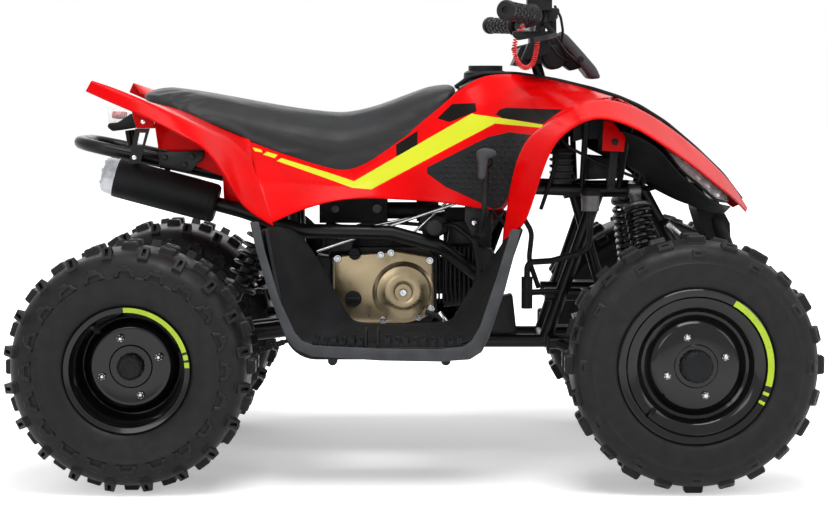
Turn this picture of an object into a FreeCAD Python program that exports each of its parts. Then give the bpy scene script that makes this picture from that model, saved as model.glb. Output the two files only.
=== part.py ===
import FreeCAD
import Part
import math
import os

# Driving dimensions, in millimetres. X points forwards, Y to the left, Z up.
wheelbase = 1025.0
halfWidth = 350.0
bodyHeight = 770.0
rearTyreRadius = 228.0
frontTyreRadius = 235.0
rearTyreWidth = 241.0
frontTyreWidth = 176.0
rearTrack = 690.0
frontTrack = 752.0
clearance = 0.3
runningGap = 0.05
overrun = 6.0

# Tyres and rims
rearBeadRadius = 101.6
frontBeadRadius = 127.0
rimFlangeHeight = 13.7
rimFlangeThickness = 5.0
rimWall = 3.5
rearBeadWidth = 196.0
frontBeadWidth = 146.0
tyreWall = 9.0
# Shares run from the middle plane to the widest point, and from the rim's lip to the tread
tyreShares = [(0.90, 0.08), (0.976, 0.38), (0.985, 0.52), (0.94, 0.75), (0.88, 0.86), (0.79, 0.935),
              (0.415, 0.99)]
tyreInnerShares = [(0.905, 0.42), (0.73, 0.84)]
rearLugRise = 12.0
frontLugRise = 11.0
lugDepth = 17.0
lugTaper = 0.86
rearLugCount = 20
frontLugCount = 12
# Tread rows: size around and across the tyre, first angle, distance from the middle, drop and tilt
rearLugRows = [(30.0, 36.0, 0.0, 35.0, 0.0, 0.0), (21.0, 34.0, 9.0, 101.0, 12.5, 38.0)]
frontLugRows = [(38.0, 30.0, 0.0, 36.0, 0.0, 0.0), (34.0, 24.0, 15.0, 66.0, 9.0, 30.0),
                (28.0, 17.0, 0.0, 84.5, 29.5, 66.0)]
webThickness = 5.0
rearWebOut = 43.0
frontWebOut = 64.0
webBossRadius = 72.0
webRise = 14.0
boltCircleRadius = 55.0
boltHoleRadius = 5.5
boltCount = 4
rearCapRadius = 25.5
rearCapLength = 24.0
frontCapRadius = 31.0
frontCapLength = 24.0
capSides = 8
hubFlangeRadius = 68.0
hubFlangeThickness = 8.0
hubRadius = 30.0
hubLength = 42.0

# Rear axle, its carrier, the sprocket, chain and brake disc
axleRadius = 14.0
carrierRadius = 34.0
carrierLength = 120.0
sprocketRadius = 82.0
sprocketThickness = 6.0
sprocketY = 100.0
sprocketTeeth = 24
toothHeight = 6.0
pinionX = -0.10146 * wheelbase
pinionZ = 0.38442 * bodyHeight
pinionRadius = 22.0
pinionShaftRadius = 9.0
chainGap = 5.0
chainBand = 6.0
chainHeight = 8.0
linkCount = 48
linkShare = 0.72
linkHeight = 11.0
linkWidth = 9.0
brakeDiscRadius = 80.0
brakeDiscThickness = 4.0
brakeDiscY = 80.0
armPivotX = -0.1678 * wheelbase
armPivotZ = 0.34805 * bodyHeight
armTubeRadius = 17.0
armSpread = 54.0
armInset = 19.0
armCrossRadius = 14.0
pivotRadius = 12.0
pivotTubeRadius = 18.0

# Shock absorbers
rearShockLowX = -0.36293 * wheelbase
rearShockLowZ = 292.0
rearShockTopX = -0.25561 * wheelbase
rearShockTopZ = 0.67532 * bodyHeight
rearSpringRadius = 30.0
frontShockTopX = 0.41951 * wheelbase
frontShockTopY = 118.3
frontShockLowX = 0.46634 * wheelbase
frontShockLowY = 232.0
frontShockLowZ = 216.0
frontSpringRadius = 27.0
springWire = 4.5
damperRadius = 13.0
rearSpringStartShare = 0.22
frontSpringStartShare = 0.56
springEndShare = 0.1
damperRodRadius = 8.0
eyeRadius = 13.0
eyeWidth = 22.0
springTurns = 8

# Frame
tubeRadius = 13.0
bearingTubeRadius = 11.0
railY = 72.0
railZ = 0.30909 * bodyHeight
railRearX = -0.22244 * wheelbase
engineTubeRearX = -0.10927 * wheelbase
engineTubeFrontX = 0.01756 * wheelbase
engineMountHalf = 32.0
railFrontX = 0.54634 * wheelbase
legLowX = 0.25268 * wheelbase
legTopX = 0.35317 * wheelbase
topRailZ = 0.6961 * bodyHeight
frontShockTopZ = topRailZ
topRailY = 92.0
upperRailRise = 95.0
upperRailZ = frontTyreRadius + upperRailRise
upperRailFrontX = 0.54829 * wheelbase
noseTopX = 0.43707 * wheelbase
seatRailY = 80.0
seatRailRearX = -0.54634 * wheelbase
seatRailRearZ = 0.79221 * bodyHeight
seatRailFrontX = 0.03902 * wheelbase
seatRailFrontZ = 0.71169 * bodyHeight
rearLegX = -0.23024 * wheelbase
tabThickness = 5.0
bendRadius = 60.0
arcShare = 0.45

# Front suspension
kingpinY = 300.0
lowBallDrop = 68.0
highBallRise = 74.0
armRadius = 11.0
lowArmRearX = 0.28293 * wheelbase
lowArmFrontX = 0.40976 * wheelbase
highArmRearX = 0.34927 * wheelbase
highArmFrontX = 0.48195 * wheelbase
armEyeRadius = 17.0
armEyeLength = 48.0
armTabOverhang = 2.0
armLead = 8.0
knuckleRadius = 20.0
spindleRadius = 12.0
steeringArmLength = 75.0
steeringArmInset = 18.0
steeringArmThickness = 9.0
tieRodZ = 276.0
tieRodRadius = 6.5
rodEndRadius = 11.0
rodEndHeight = 15.0

# Steering stem and handlebar
stemTopX = 0.2361 * wheelbase
stemTopZ = 1.02857 * bodyHeight
stemBottomX = 0.37854 * wheelbase
stemBottomZ = 300.0
stemRadius = 11.0
stemBearingRadius = 22.0
stemBearingLength = 30.0
pitmanLength = 60.0
pitmanSpread = 26.0
pitmanThickness = 7.0
barRadius = 11.0
barClampY = 52.0
barClampRadius = 20.0
barRiseY = 135.0
barRiseX = 0.24 * wheelbase
barRiseZ = 1.12727 * bodyHeight
barBendY = 262.0
barBendX = 0.22732 * wheelbase
barEndX = 0.1639 * wheelbase
barEndY = 392.0
barEndZ = 1.13506 * bodyHeight
gripRadius = 16.5
gripLength = 118.0
gripCapRadius = 18.5
gripCapLength = 5.0

# Engine, intake and exhaust
engineRearX = -0.13659 * wheelbase
engineFrontX = 0.04488 * wheelbase
engineBottomZ = 0.34805 * bodyHeight
engineTopZ = 0.55065 * bodyHeight
engineHalfWidth = 92.0
coverThickness = 22.0
coverStep = 7.0
clutchX = -0.01951 * wheelbase
clutchZ = 0.44286 * bodyHeight
clutchRadius = 52.0
clutchRingRadius = 35.0
clutchHubRadius = 17.0
cylinderZ = 0.47013 * bodyHeight
cylinderRadius = 38.0
finSize = 104.0
finThickness = 3.0
finPitch = 8.0
finCount = 8
headLength = 52.0
headSize = 92.0
intakeRadius = 17.0
airboxRearX = -0.18146 * wheelbase
airboxFrontX = -0.05073 * wheelbase
airboxLowZ = 0.61039 * bodyHeight
airboxTopZ = 0.69091 * bodyHeight
airboxHalfWidth = 58.0
carburettorX = 0.02732 * wheelbase
carburettorZ = 0.6 * bodyHeight
carburettorRadius = 22.0
bowlRadius = 18.0
bowlDepth = 30.0
pipeRadius = 14.0
mufflerRadius = 38.0
mufflerLength = 200.0
mufflerCapLength = 26.0
mufflerEndX = -0.58146 * wheelbase
mufflerEndZ = 0.74286 * bodyHeight
mufflerY = -168.0
mufflerSlope = 15.0
outletRadius = 11.0
shifterRadius = 6.0
knobRadius = 13.0

# Seat, covers and fenders
panelThickness = 3.5
lampDepth = 26.0
footThickness = 6.0
footInnerY = 212.0
footOuterY = 386.0
footTopOuterY = 336.0
stripWidth = 22.0
stripThickness = 5.0
bumperRadius = 13.0
grabRadius = 12.5
cordRadius = 5.5
cordBend = 1000.0
cordEndShare = 1.4
hoseRadius = 6.0

# Pins and small gaps of the front suspension
armPivotGap = 18.0
pinRadius = 6.0
ballPlate = 16.0
ballPinRadius = 7.0
spindleInset = 2.0
rodPinRadius = 4.0
tieRodDrop = 12.0
lowArmDip = 5.0

# What sits on the handlebar
visorStayRadius = 5.0
clampOverlap = 2.0
barClampWidth = 24.0
clampPlate = 8.0
perchGap = 20.0
perchLength = 20.0
perchRadius = 17.0
switchLength = 46.0
switchWidth = 40.0
switchHeight = 22.0
leverReach = 30.0
leverDrop = 34.0
leverLength = 108.0
leverRadius = 5.0
guardHalfWidth = 66.0
guardShares = [(0.190, 1.016), (0.205, 1.060), (0.245, 1.085), (0.262, 1.060), (0.252, 1.028), (0.215, 1.011)]
visorHalfWidth = 70.0
visorShares = [(0.281, 1.102), (0.297, 1.088), (0.326, 1.045), (0.351, 1.006), (0.360, 0.980), (0.340, 0.981),
               (0.320, 1.014), (0.299, 1.049), (0.283, 1.062)]
stayRadius = 6.0
seatStayX = [-0.45854 * wheelbase, -0.29268 * wheelbase, -0.11707 * wheelbase]
seatStayReach = 160.0
grabStayX = [-0.39024 * wheelbase, -0.52195 * wheelbase]
footBarX = [-0.14634 * wheelbase, 0.05854 * wheelbase]
footBarRadius = 9.0
footBarY = 330.0
hangerX = -0.46829 * wheelbase
# Stays of the bodywork: where each starts on the frame and where it aims, as shares, and what it carries
stayShares = [((-0.0585, 0.2286, 0.7013), (-0.0585, 0.7429, 0.7403), "side_covers"),
              ((-0.1951, 0.2286, 0.6961), (-0.1951, 0.8571, 0.7273), "side_covers"),
              ((0.322, 0.26, 0.6961), (0.322, 0.6857, 1.013), "side_covers"),
              ((0.3902, 0.2629, 0.6961), (0.402, 0.8571, 0.9351), "front_fenders"),
              ((0.2927, 0.2514, 0.6987), (0.2927, 0.0286, 1.039), "top_cover"),
              ((0.4371, 0.1714, 0.6961), (0.4878, 0.1714, 0.961), "nose_cover"),
              ((-0.4098, 0.2286, 0.7494), (-0.4098, 0.6857, 0.8961), "rear_fenders"),
              ((0.4371, 0.2571, 0.6961), (0.5317, 0.5714, 0.7468), "head_lamps")]
# The cord hangs beside the stem, so its route is measured from the top of the stem
cordRoute = [(-30.0, -160.0, 64.0), (-46.0, -162.0, 43.0), (-50.0, -160.0, 14.0),
             (-43.0, -157.0, -8.0), (-29.0, -154.0, -20.0), (-13.0, -151.0, -13.0),
             (-7.0, -150.0, 9.0), (-4.0, -153.0, 32.0), (-2.0, -156.0, 53.0)]

# Footwells
footTyreGap = 14.0
footHeelReach = 48.0
footToeX = 0.11317 * wheelbase
footFrontX = 0.19707 * wheelbase
footLowZ = 0.31169 * bodyHeight
footTopZ = 0.61558 * bodyHeight
footTopInnerY = 250.0

# Bodywork outlines, as shares of the wheelbase, the half width and the body height
seatShares = [(-0.520, 0.20, 0.928, 0.935), (-0.506, 0.30, 0.920, 0.946), (-0.460, 0.37, 0.900, 0.942),
              (-0.390, 0.39, 0.868, 0.929), (-0.310, 0.40, 0.818, 0.912), (-0.232, 0.40, 0.789, 0.897),
              (-0.161, 0.38, 0.762, 0.889), (-0.127, 0.365, 0.756, 0.889), (-0.070, 0.345, 0.777, 0.906),
              (-0.010, 0.32, 0.832, 0.938), (0.045, 0.29, 0.880, 0.963), (0.072, 0.26, 0.925, 0.967),
              (0.083, 0.20, 0.948, 0.960)]
seatCrownShares = [(-0.98, 0.35), (-0.86, 0.74), (-0.50, 0.94), (0.0, 1.0), (0.50, 0.94), (0.86, 0.74),
                   (0.98, 0.35)]
sideCoverShares = [((-0.310, -0.43, 0.815), (-0.285, -0.65, 0.725), (-0.259, -0.81, 0.624)),
                   ((-0.232, -0.42, 0.786), (-0.222, -0.57, 0.725), (-0.213, -0.67, 0.654)),
                   ((-0.161, -0.40, 0.759), (-0.158, -0.51, 0.720), (-0.155, -0.58, 0.674)),
                   ((-0.127, -0.39, 0.753), (-0.124, -0.49, 0.719), (-0.122, -0.55, 0.679)),
                   ((-0.090, -0.37, 0.767), (-0.083, -0.48, 0.728), (-0.077, -0.53, 0.682)),
                   ((-0.031, -0.35, 0.814), (-0.024, -0.47, 0.750), (-0.018, -0.52, 0.677)),
                   ((0.040, -0.33, 0.875), (0.046, -0.47, 0.780), (0.050, -0.53, 0.673)),
                   ((0.092, -0.285, 0.957), (0.110, -0.50, 0.810), (0.122, -0.60, 0.658)),
                   ((0.130, -0.225, 0.983), (0.148, -0.52, 0.840), (0.168, -0.73, 0.652)),
                   ((0.160, -0.195, 0.988), (0.176, -0.51, 0.890), (0.186, -0.775, 0.735)),
                   ((0.195, -0.175, 0.988), (0.204, -0.50, 0.925), (0.207, -0.77, 0.830)),
                   ((0.249, -0.16, 0.978), (0.246, -0.50, 0.938), (0.242, -0.765, 0.866)),
                   ((0.320, -0.16, 0.957), (0.316, -0.46, 0.944), (0.312, -0.74, 0.921)),
                   ((0.383, -0.16, 0.929), (0.372, -0.42, 0.930), (0.358, -0.675, 0.928))]
frontFenderShares = [((0.165, -0.82, 0.585), (0.195, -0.950, 0.623)),
                     ((0.172, -0.81, 0.665), (0.206, -0.965, 0.642)),
                     ((0.183, -0.80, 0.752), (0.227, -0.980, 0.737)),
                     ((0.203, -0.79, 0.829), (0.245, -0.990, 0.806)),
                     ((0.239, -0.785, 0.863), (0.267, -1.000, 0.843)),
                     ((0.278, -0.78, 0.896), (0.299, -1.000, 0.871)),
                     ((0.315, -0.76, 0.921), (0.327, -0.990, 0.883)),
                     ((0.360, -0.695, 0.927), (0.364, -0.965, 0.875)),
                     ((0.416, -0.60, 0.903), (0.411, -0.910, 0.854)),
                     ((0.469, -0.515, 0.863), (0.462, -0.830, 0.815)),
                     ((0.524, -0.42, 0.810), (0.514, -0.710, 0.770)),
                     ((0.573, -0.325, 0.756), (0.562, -0.580, 0.721)),
                     ((0.612, -0.24, 0.703), (0.602, -0.420, 0.685)),
                     ((0.641, -0.17, 0.648), (0.636, -0.225, 0.640))]
rearFenderShares = [((-0.565, -0.72, 0.945), (-0.584, -0.81, 0.970), (-0.593, -0.830, 0.946)),
                    ((-0.530, -0.60, 0.922), (-0.549, -0.82, 0.955), (-0.545, -0.846, 0.917)),
                    ((-0.500, -0.44, 0.905), (-0.504, -0.82, 0.931), (-0.498, -0.857, 0.892)),
                    ((-0.460, -0.42, 0.885), (-0.460, -0.81, 0.904), (-0.450, -0.870, 0.861)),
                    ((-0.425, -0.42, 0.868), (-0.424, -0.79, 0.882), (-0.410, -0.880, 0.834)),
                    ((-0.392, -0.43, 0.848), (-0.390, -0.75, 0.858), (-0.374, -0.890, 0.809)),
                    ((-0.356, -0.44, 0.826), (-0.356, -0.61, 0.837), (-0.333, -0.900, 0.729)),
                    ((-0.335, -0.44, 0.818), (-0.342, -0.54, 0.830), (-0.310, -0.886, 0.662)),
                    ((-0.317, -0.44, 0.812), (-0.310, -0.58, 0.765), (-0.266, -0.830, 0.620))]
kneeOutlineShares = [(0.026, 0.757), (0.026, 0.742), (0.060, 0.710), (0.094, 0.690), (0.172, 0.648),
                     (0.196, 0.690), (0.204, 0.770), (0.206, 0.838), (0.180, 0.845), (0.140, 0.832),
                     (0.092, 0.797), (0.059, 0.776)]
kneeThickness = 3.0
topCoverShares = [((0.087, -0.280, 0.954), (0.086, 0.0, 0.966)),
                  ((0.130, -0.210, 0.986), (0.130, 0.0, 0.993)),
                  ((0.181, -0.165, 0.990), (0.181, 0.0, 0.997)),
                  ((0.249, -0.145, 0.980), (0.249, 0.0, 0.988)),
                  ((0.320, -0.145, 0.960), (0.320, 0.0, 0.970)),
                  ((0.383, -0.145, 0.932), (0.383, 0.0, 0.944))]
noseCoverShares = [((0.388, -0.63, 0.923), (0.390, 0.0, 0.936)),
                   ((0.430, -0.555, 0.895), (0.432, 0.0, 0.914)),
                   ((0.480, -0.475, 0.854), (0.484, 0.0, 0.872)),
                   ((0.524, -0.400, 0.810), (0.530, 0.0, 0.828)),
                   ((0.573, -0.305, 0.756), (0.578, 0.0, 0.772)),
                   ((0.612, -0.220, 0.703), (0.616, 0.0, 0.720)),
                   ((0.641, -0.150, 0.648), (0.646, 0.0, 0.660))]
fuelCapShare = (0.140, 0.0, 1.002)
fuelNeckRadius = 26.0
fuelNeckDepth = 20.0
fuelCapRadius = 34.0
fuelCapHeight = 9.0
stemHoleGap = 14.0
headLampShares = [((0.468, -0.62, 0.800), (0.496, -0.60, 0.758)),
                  ((0.506, -0.57, 0.778), (0.526, -0.55, 0.722)),
                  ((0.548, -0.49, 0.735), (0.566, -0.47, 0.676)),
                  ((0.584, -0.38, 0.700), (0.590, -0.36, 0.670))]
tailLampShares = [(-0.591, 0.905), (-0.541, 0.893), (-0.541, 0.850), (-0.560, 0.846), (-0.591, 0.856)]
tailLampHalfWidth = 55.0
linerThickness = 3.0
linerShares = [((0.350, -0.88, 0.868), (0.350, -0.30, 0.800)),
               ((0.408, -0.84, 0.848), (0.392, -0.30, 0.772)),
               ((0.458, -0.76, 0.812), (0.435, -0.32, 0.742)),
               ((0.508, -0.65, 0.768), (0.463, -0.34, 0.706)),
               ((0.555, -0.53, 0.718), (0.527, -0.36, 0.672)),
               ((0.600, -0.38, 0.678), (0.590, -0.30, 0.650))]
# Inner walls and tabs of the rear fenders, and the straps that hold them, on the side view
wallShares = [(-0.488, 0.878), (-0.480, 0.805), (-0.447, 0.795), (-0.410, 0.760), (-0.359, 0.735),
              (-0.357, 0.665), (-0.328, 0.649), (-0.318, 0.690), (-0.322, 0.780), (-0.337, 0.820),
              (-0.385, 0.846)]
wallY = -150.0
wallThickness = 3.5
tabShares = [(-0.525, 0.918), (-0.488, 0.907), (-0.478, 0.856), (-0.512, 0.856)]
tabY = -215.0
tabWidth = 15.0
strapShares = [(-0.515, 0.8555), (-0.488, 0.8555), (-0.507, 0.769), (-0.528, 0.769)]
slotShares = [(-0.507, 0.845), (-0.496, 0.845), (-0.502, 0.815), (-0.512, 0.815)]
strapY = -209.0
strapThickness = 3.0
strapPegShare = (-0.517, -0.337, 0.7845)
bumperFaceShares = [(0.542, 0.678), (0.587, 0.667), (0.610, 0.610), (0.612, 0.556), (0.579, 0.556),
                    (0.558, 0.591), (0.546, 0.642)]
bumperFaceHalf = 62.0
bumperStayShares = [(0.561, -0.17, 0.571), (0.477, -0.32, 0.616)]
bumperStayRadius = 8.0
pipeShares = [(-0.320, -0.48, 0.6494), (-0.214, -0.48, 0.600), (-0.042, -0.44, 0.594), (0.050, -0.42, 0.560)]
grabY = 118.0
grabFrontX = -0.33659 * wheelbase
grabFrontZ = 0.72987 * bodyHeight
grabRearX = -0.63902 * wheelbase
grabRearZ = 0.81818 * bodyHeight
bumperY = 60.0
bumperNoseX = 0.61463 * wheelbase
bumperMiddleZ = 0.51948 * bodyHeight
bumperTopX = 0.57561 * wheelbase
bumperTopZ = 0.64935 * bodyHeight
knobShare = (0.133, -0.74, 0.775)
shifterShares = [(0.130, -0.74, 0.650), (0.124, -0.62, 0.590), (0.118, -0.34, 0.600), (0.118, -0.24, 0.700)]
reservoirShare = (0.331, -0.50, 0.650)
reservoirRadius = 17.0
reservoirHeight = 40.0
hoseShares = [(0.331, -0.50, 0.600), (0.330, -0.42, 0.548), (0.262, -0.36, 0.520), (0.217, -0.32, 0.515),
              (0.2165, -0.32, 0.478)]
masterShare = (0.2165, -0.32, 0.478)
masterRadius = 11.0
masterLength = 62.0

rearX = -(wheelbase - rearTyreRadius + frontTyreRadius) / 2
frontX = rearX + wheelbase
footBackX = rearX + rearTyreRadius + footTyreGap
footHeelX = footBackX + footHeelReach
rearWheelY = rearTrack / 2
frontWheelY = frontTrack / 2
vector = FreeCAD.Vector
sideAxis = vector(0, 1, 0)
upAxis = vector(0, 0, 1)
nodes = {}


# Helpers
def place(share):
    return vector(share[0] * wheelbase, share[1] * halfWidth, share[2] * bodyHeight)


def sideOutline(shares):
    return [(x * wheelbase, z * bodyHeight) for x, z in shares]


def mirrorY(shape):
    return shape.mirror(vector(0, 0, 0), sideAxis)


def pair(shape):
    return Part.Compound([shape, mirrorY(shape)])


def rod(start, end, radius):
    run = end - start
    return Part.makeCylinder(radius, run.Length, start, run)


def cross(centre, direction, radius, length):
    axis = vector(direction).normalize()
    return Part.makeCylinder(radius, length, centre - axis * (length / 2), axis)


def bentPath(points, bend):
    edges = []
    last = points[0]
    for before, corner, after in zip(points, points[1:], points[2:]):
        back = (before - corner).normalize()
        ahead = (after - corner).normalize()
        turn = math.pi - back.getAngle(ahead)
        room = arcShare * min((before - corner).Length, (after - corner).Length)
        reach = min(room, bend * math.tan(turn / 2))
        radius = reach / math.tan(turn / 2)
        first = corner + back * reach
        second = corner + ahead * reach
        toCentre = (back + ahead).normalize()
        centre = corner + toCentre * math.hypot(reach, radius)
        middle = centre - toCentre * radius
        edges.append(Part.LineSegment(last, first).toShape())
        edges.append(Part.Arc(first, middle, second).toShape())
        last = second
    edges.append(Part.LineSegment(last, points[-1]).toShape())
    return Part.Wire(edges)


def bentTube(points, radius, bend):
    path = bentPath(points, bend)
    ring = Part.Wire([Part.Circle(points[0], points[1] - points[0], radius).toShape()])
    return path.makePipeShell([ring], True, False)


def prism(outline, low, high):
    corners = [vector(x, low, z) for x, z in outline]
    face = Part.Face(Part.makePolygon(corners + corners[:1]))
    return face.extrude(vector(0, high - low, 0))


def fuse(shapes):
    return shapes[0].multiFuse(shapes[1:]).removeSplitter()


def nearest(shape, point):
    mark = Part.Vertex(point)
    return min(shape.Solids, key=lambda solid: solid.distToShape(mark)[0])


def spin(profile, centre):
    corners = [centre + vector(0, across, out) for across, out in profile]
    face = Part.Face(Part.makePolygon(corners + corners[:1]))
    return face.revolve(centre, sideAxis, 360)


def rail(points):
    curve = Part.BSplineCurve()
    curve.interpolate(points)
    return curve.toShape()


def strips(lines):
    return [Part.makeRuledSurface(first, second) for first, second in zip(lines, lines[1:])]


# A moulded panel: rails run along it, with a crease at each inner rail
def panel(rails, thickness):
    inner = []
    for j, line in enumerate(rails):
        pushed = []
        for i, point in enumerate(line):
            along = line[min(i + 1, len(line) - 1)] - line[max(i - 1, 0)]
            across = rails[min(j + 1, len(rails) - 1)][i] - rails[max(j - 1, 0)][i]
            pushed.append(point + along.cross(across).normalize() * thickness)
        inner.append(pushed)
    outerEdges = [rail(line) for line in rails]
    innerEdges = [rail(line) for line in inner]
    faces = strips(outerEdges) + strips(innerEdges)
    faces += [Part.makeRuledSurface(outerEdges[k], innerEdges[k]) for k in (0, -1)]
    for end in (0, -1):
        outerEnds = [line[end] for line in rails]
        innerEnds = [line[end] for line in inner]
        for j in range(len(rails) - 1):
            top = Part.LineSegment(outerEnds[j], outerEnds[j + 1]).toShape()
            low = Part.LineSegment(innerEnds[j], innerEnds[j + 1]).toShape()
            faces.append(Part.makeRuledSurface(top, low))
    shell = Part.Shell(faces)
    shell.sewShape()
    solid = Part.Solid(Part.Shell(shell.Faces))
    if solid.Volume < 0:
        solid.reverse()
    return solid


def stationRails(table):
    count = len(table[0])
    return [[place(row[k]) for row in table] for k in range(count)]


# Wheels
def tyre(centre, radius, width, beadRadius, beadWidth, lugRise, lugRows, lugCount):
    half = width / 2
    bead = beadWidth / 2
    lip = beadRadius + rimFlangeHeight + clearance
    rise = radius - lugRise - lip
    outer = [(bead, beadRadius), (bead, lip)]
    outer += [(half * across, lip + rise * out) for across, out in tyreShares]
    inner = [(bead - tyreWall, beadRadius), (bead - tyreWall, lip)]
    inner += [(half * across, lip + rise * out) for across, out in tyreInnerShares]
    inner.append((half * tyreShares[-1][0], radius - lugRise - tyreWall))
    whole = outer + [(-across, out) for across, out in reversed(outer)]
    hollow = inner + [(-across, out) for across, out in reversed(inner)]
    body = spin(whole + list(reversed(hollow)), centre)
    lugs = []
    for row in lugRows:
        for sign in (-1, 1):
            lugs += treadRow(centre, radius, row, lugCount, sign)
    return body.fuse(lugs)


# One ring of tread blocks, each narrower at its top and leaning towards the side that sign gives
def treadRow(centre, radius, row, count, sign):
    around, along, first, across, drop, tilt = row
    start = vector(0, 0, 0)
    block = Part.makeWedge(-around / 2, -lugDepth, -along / 2, -along * lugTaper / 2, -around * lugTaper / 2,
                           around / 2, 0, along / 2, along * lugTaper / 2, around * lugTaper / 2)
    block.rotate(start, vector(1, 0, 0), 90 - sign * tilt)
    block.translate(vector(0, sign * across, radius - drop))
    blocks = []
    for number in range(count):
        turned = block.copy()
        turned.rotate(start, sideAxis, first + 360 * number / count)
        turned.translate(centre)
        blocks.append(turned)
    return blocks


def boltSpots(centre, face):
    spots = []
    for number in range(boltCount):
        angle = 2 * math.pi * (number + 0.5) / boltCount
        across = boltCircleRadius * math.cos(angle)
        up = boltCircleRadius * math.sin(angle)
        spots.append(vector(centre.x + across, face, centre.z + up))
    return spots


# The web stands out from the middle plane by webOut, towards the side that sign gives
def rim(centre, beadRadius, beadWidth, webOut, sign):
    seat = beadRadius - clearance
    half = beadWidth / 2
    lip = half + rimFlangeThickness
    well = seat - rimWall
    top = beadRadius + rimFlangeHeight
    barrel = [(-lip, well), (lip, well), (lip, top), (half + clearance, top), (half + clearance, seat),
              (-half - clearance, seat), (-half - clearance, top), (-lip, top)]
    webIn = sign * (webOut - webThickness)
    webFace = sign * webOut
    rise = sign * webRise
    web = [(webIn, 0), (webFace, 0), (webFace, webBossRadius), (webFace - rise, well), (webIn - rise, well),
           (webIn, webBossRadius)]
    body = spin(barrel, centre).fuse(spin(web, centre))
    for spot in boltSpots(centre, centre.y + webFace):
        body = body.cut(cross(spot, sideAxis, boltHoleRadius, 4 * webThickness))
    return body


def hubCap(centre, face, radius, length, sign):
    corners = []
    for number in range(capSides):
        angle = 2 * math.pi * (number + 0.5) / capSides
        corners.append(vector(centre.x + radius * math.cos(angle), face, centre.z + radius * math.sin(angle)))
    base = Part.Face(Part.makePolygon(corners + corners[:1]))
    return base.extrude(vector(0, sign * length, 0))


def wheels():
    for name, sign in (("right", -1), ("left", 1)):
        centre = vector(frontX, sign * frontWheelY, frontTyreRadius)
        nodes["front_tyre_" + name] = tyre(
            centre, frontTyreRadius, frontTyreWidth, frontBeadRadius, frontBeadWidth,
            frontLugRise, frontLugRows, frontLugCount)
        bore = cross(centre, sideAxis, spindleRadius + runningGap, frontTyreWidth)
        face = centre.y + sign * frontWebOut
        hubStart = face - sign * (webThickness + hubLength)
        hub = rod(vector(centre.x, hubStart, centre.z), vector(centre.x, face, centre.z), hubRadius)
        plate = rod(
            vector(centre.x, face - sign * (webThickness + hubFlangeThickness), centre.z),
            vector(centre.x, face - sign * webThickness, centre.z), hubFlangeRadius)
        body = rim(centre, frontBeadRadius, frontBeadWidth, frontWebOut, sign)
        nodes["front_rim_" + name] = fuse([body, hub, plate]).cut(bore)
        nodes["front_hub_cap_" + name] = hubCap(centre, face, frontCapRadius, frontCapLength, sign)
    caps = []
    tyres = []
    rims = []
    axle = driveParts()
    reach = rearWheelY + rearWebOut - webThickness
    axle.append(cross(vector(rearX, 0, rearTyreRadius), sideAxis, axleRadius, 2 * reach))
    for sign in (-1, 1):
        centre = vector(rearX, sign * rearWheelY, rearTyreRadius)
        tyres.append(tyre(
            centre, rearTyreRadius, rearTyreWidth, rearBeadRadius, rearBeadWidth,
            rearLugRise, rearLugRows, rearLugCount))
        rims.append(rim(centre, rearBeadRadius, rearBeadWidth, rearWebOut, sign))
        outer = vector(rearX, sign * reach, rearTyreRadius)
        axle.append(rod(outer - sideAxis * (sign * hubFlangeThickness), outer, hubFlangeRadius))
        axle.append(rod(outer - sideAxis * (sign * hubLength), outer, hubRadius))
        caps.append(hubCap(centre, centre.y + sign * rearWebOut, rearCapRadius, rearCapLength, sign))
    nodes["rear_axle"] = fuse(axle)
    nodes["rear_hub_caps"] = Part.Compound(caps)
    nodes["rear_tyres"] = Part.Compound(tyres)
    nodes["rear_rims"] = Part.Compound(rims)


def disc(y, radius, thickness):
    centre = vector(rearX, y, rearTyreRadius)
    return cross(centre, sideAxis, radius, thickness)


# The brake disc and the toothed sprocket that the rear axle carries
def driveParts():
    brake = disc(-brakeDiscY, brakeDiscRadius, brakeDiscThickness)
    wheel = disc(sprocketY, sprocketRadius - toothHeight, sprocketThickness)
    teeth = []
    for number in range(sprocketTeeth):
        angle = 2 * math.pi * number / sprocketTeeth
        out = vector(math.cos(angle), 0, math.sin(angle))
        middle = vector(rearX, sprocketY, rearTyreRadius) + out * (sprocketRadius - toothHeight)
        tooth = Part.makeBox(2 * toothHeight, sprocketThickness, toothHeight)
        tooth.translate(vector(-toothHeight, -sprocketThickness / 2, -toothHeight / 2))
        tooth.rotate(vector(0, 0, 0), sideAxis, -math.degrees(angle))
        tooth.translate(middle)
        teeth.append(tooth)
    return [brake, wheel] + teeth


# Outline of a belt round two wheels, in the plane at y
def beltWire(big, bigRadius, small, smallRadius):
    run = big - small
    heading = math.atan2(run.z, run.x)
    lean = math.acos((smallRadius - bigRadius) / run.Length)

    def spot(centre, radius, angle):
        return centre + vector(math.cos(angle), 0, math.sin(angle)) * radius

    high = [spot(small, smallRadius, heading + lean), spot(big, bigRadius, heading + lean)]
    low = [spot(big, bigRadius, heading - lean), spot(small, smallRadius, heading - lean)]
    edges = [Part.LineSegment(high[0], high[1]).toShape(),
             Part.Arc(high[1], spot(big, bigRadius, heading), low[0]).toShape(),
             Part.LineSegment(low[0], low[1]).toShape(),
             Part.Arc(low[1], spot(small, smallRadius, heading + math.pi), high[0]).toShape()]
    return Part.Wire(edges)


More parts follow.
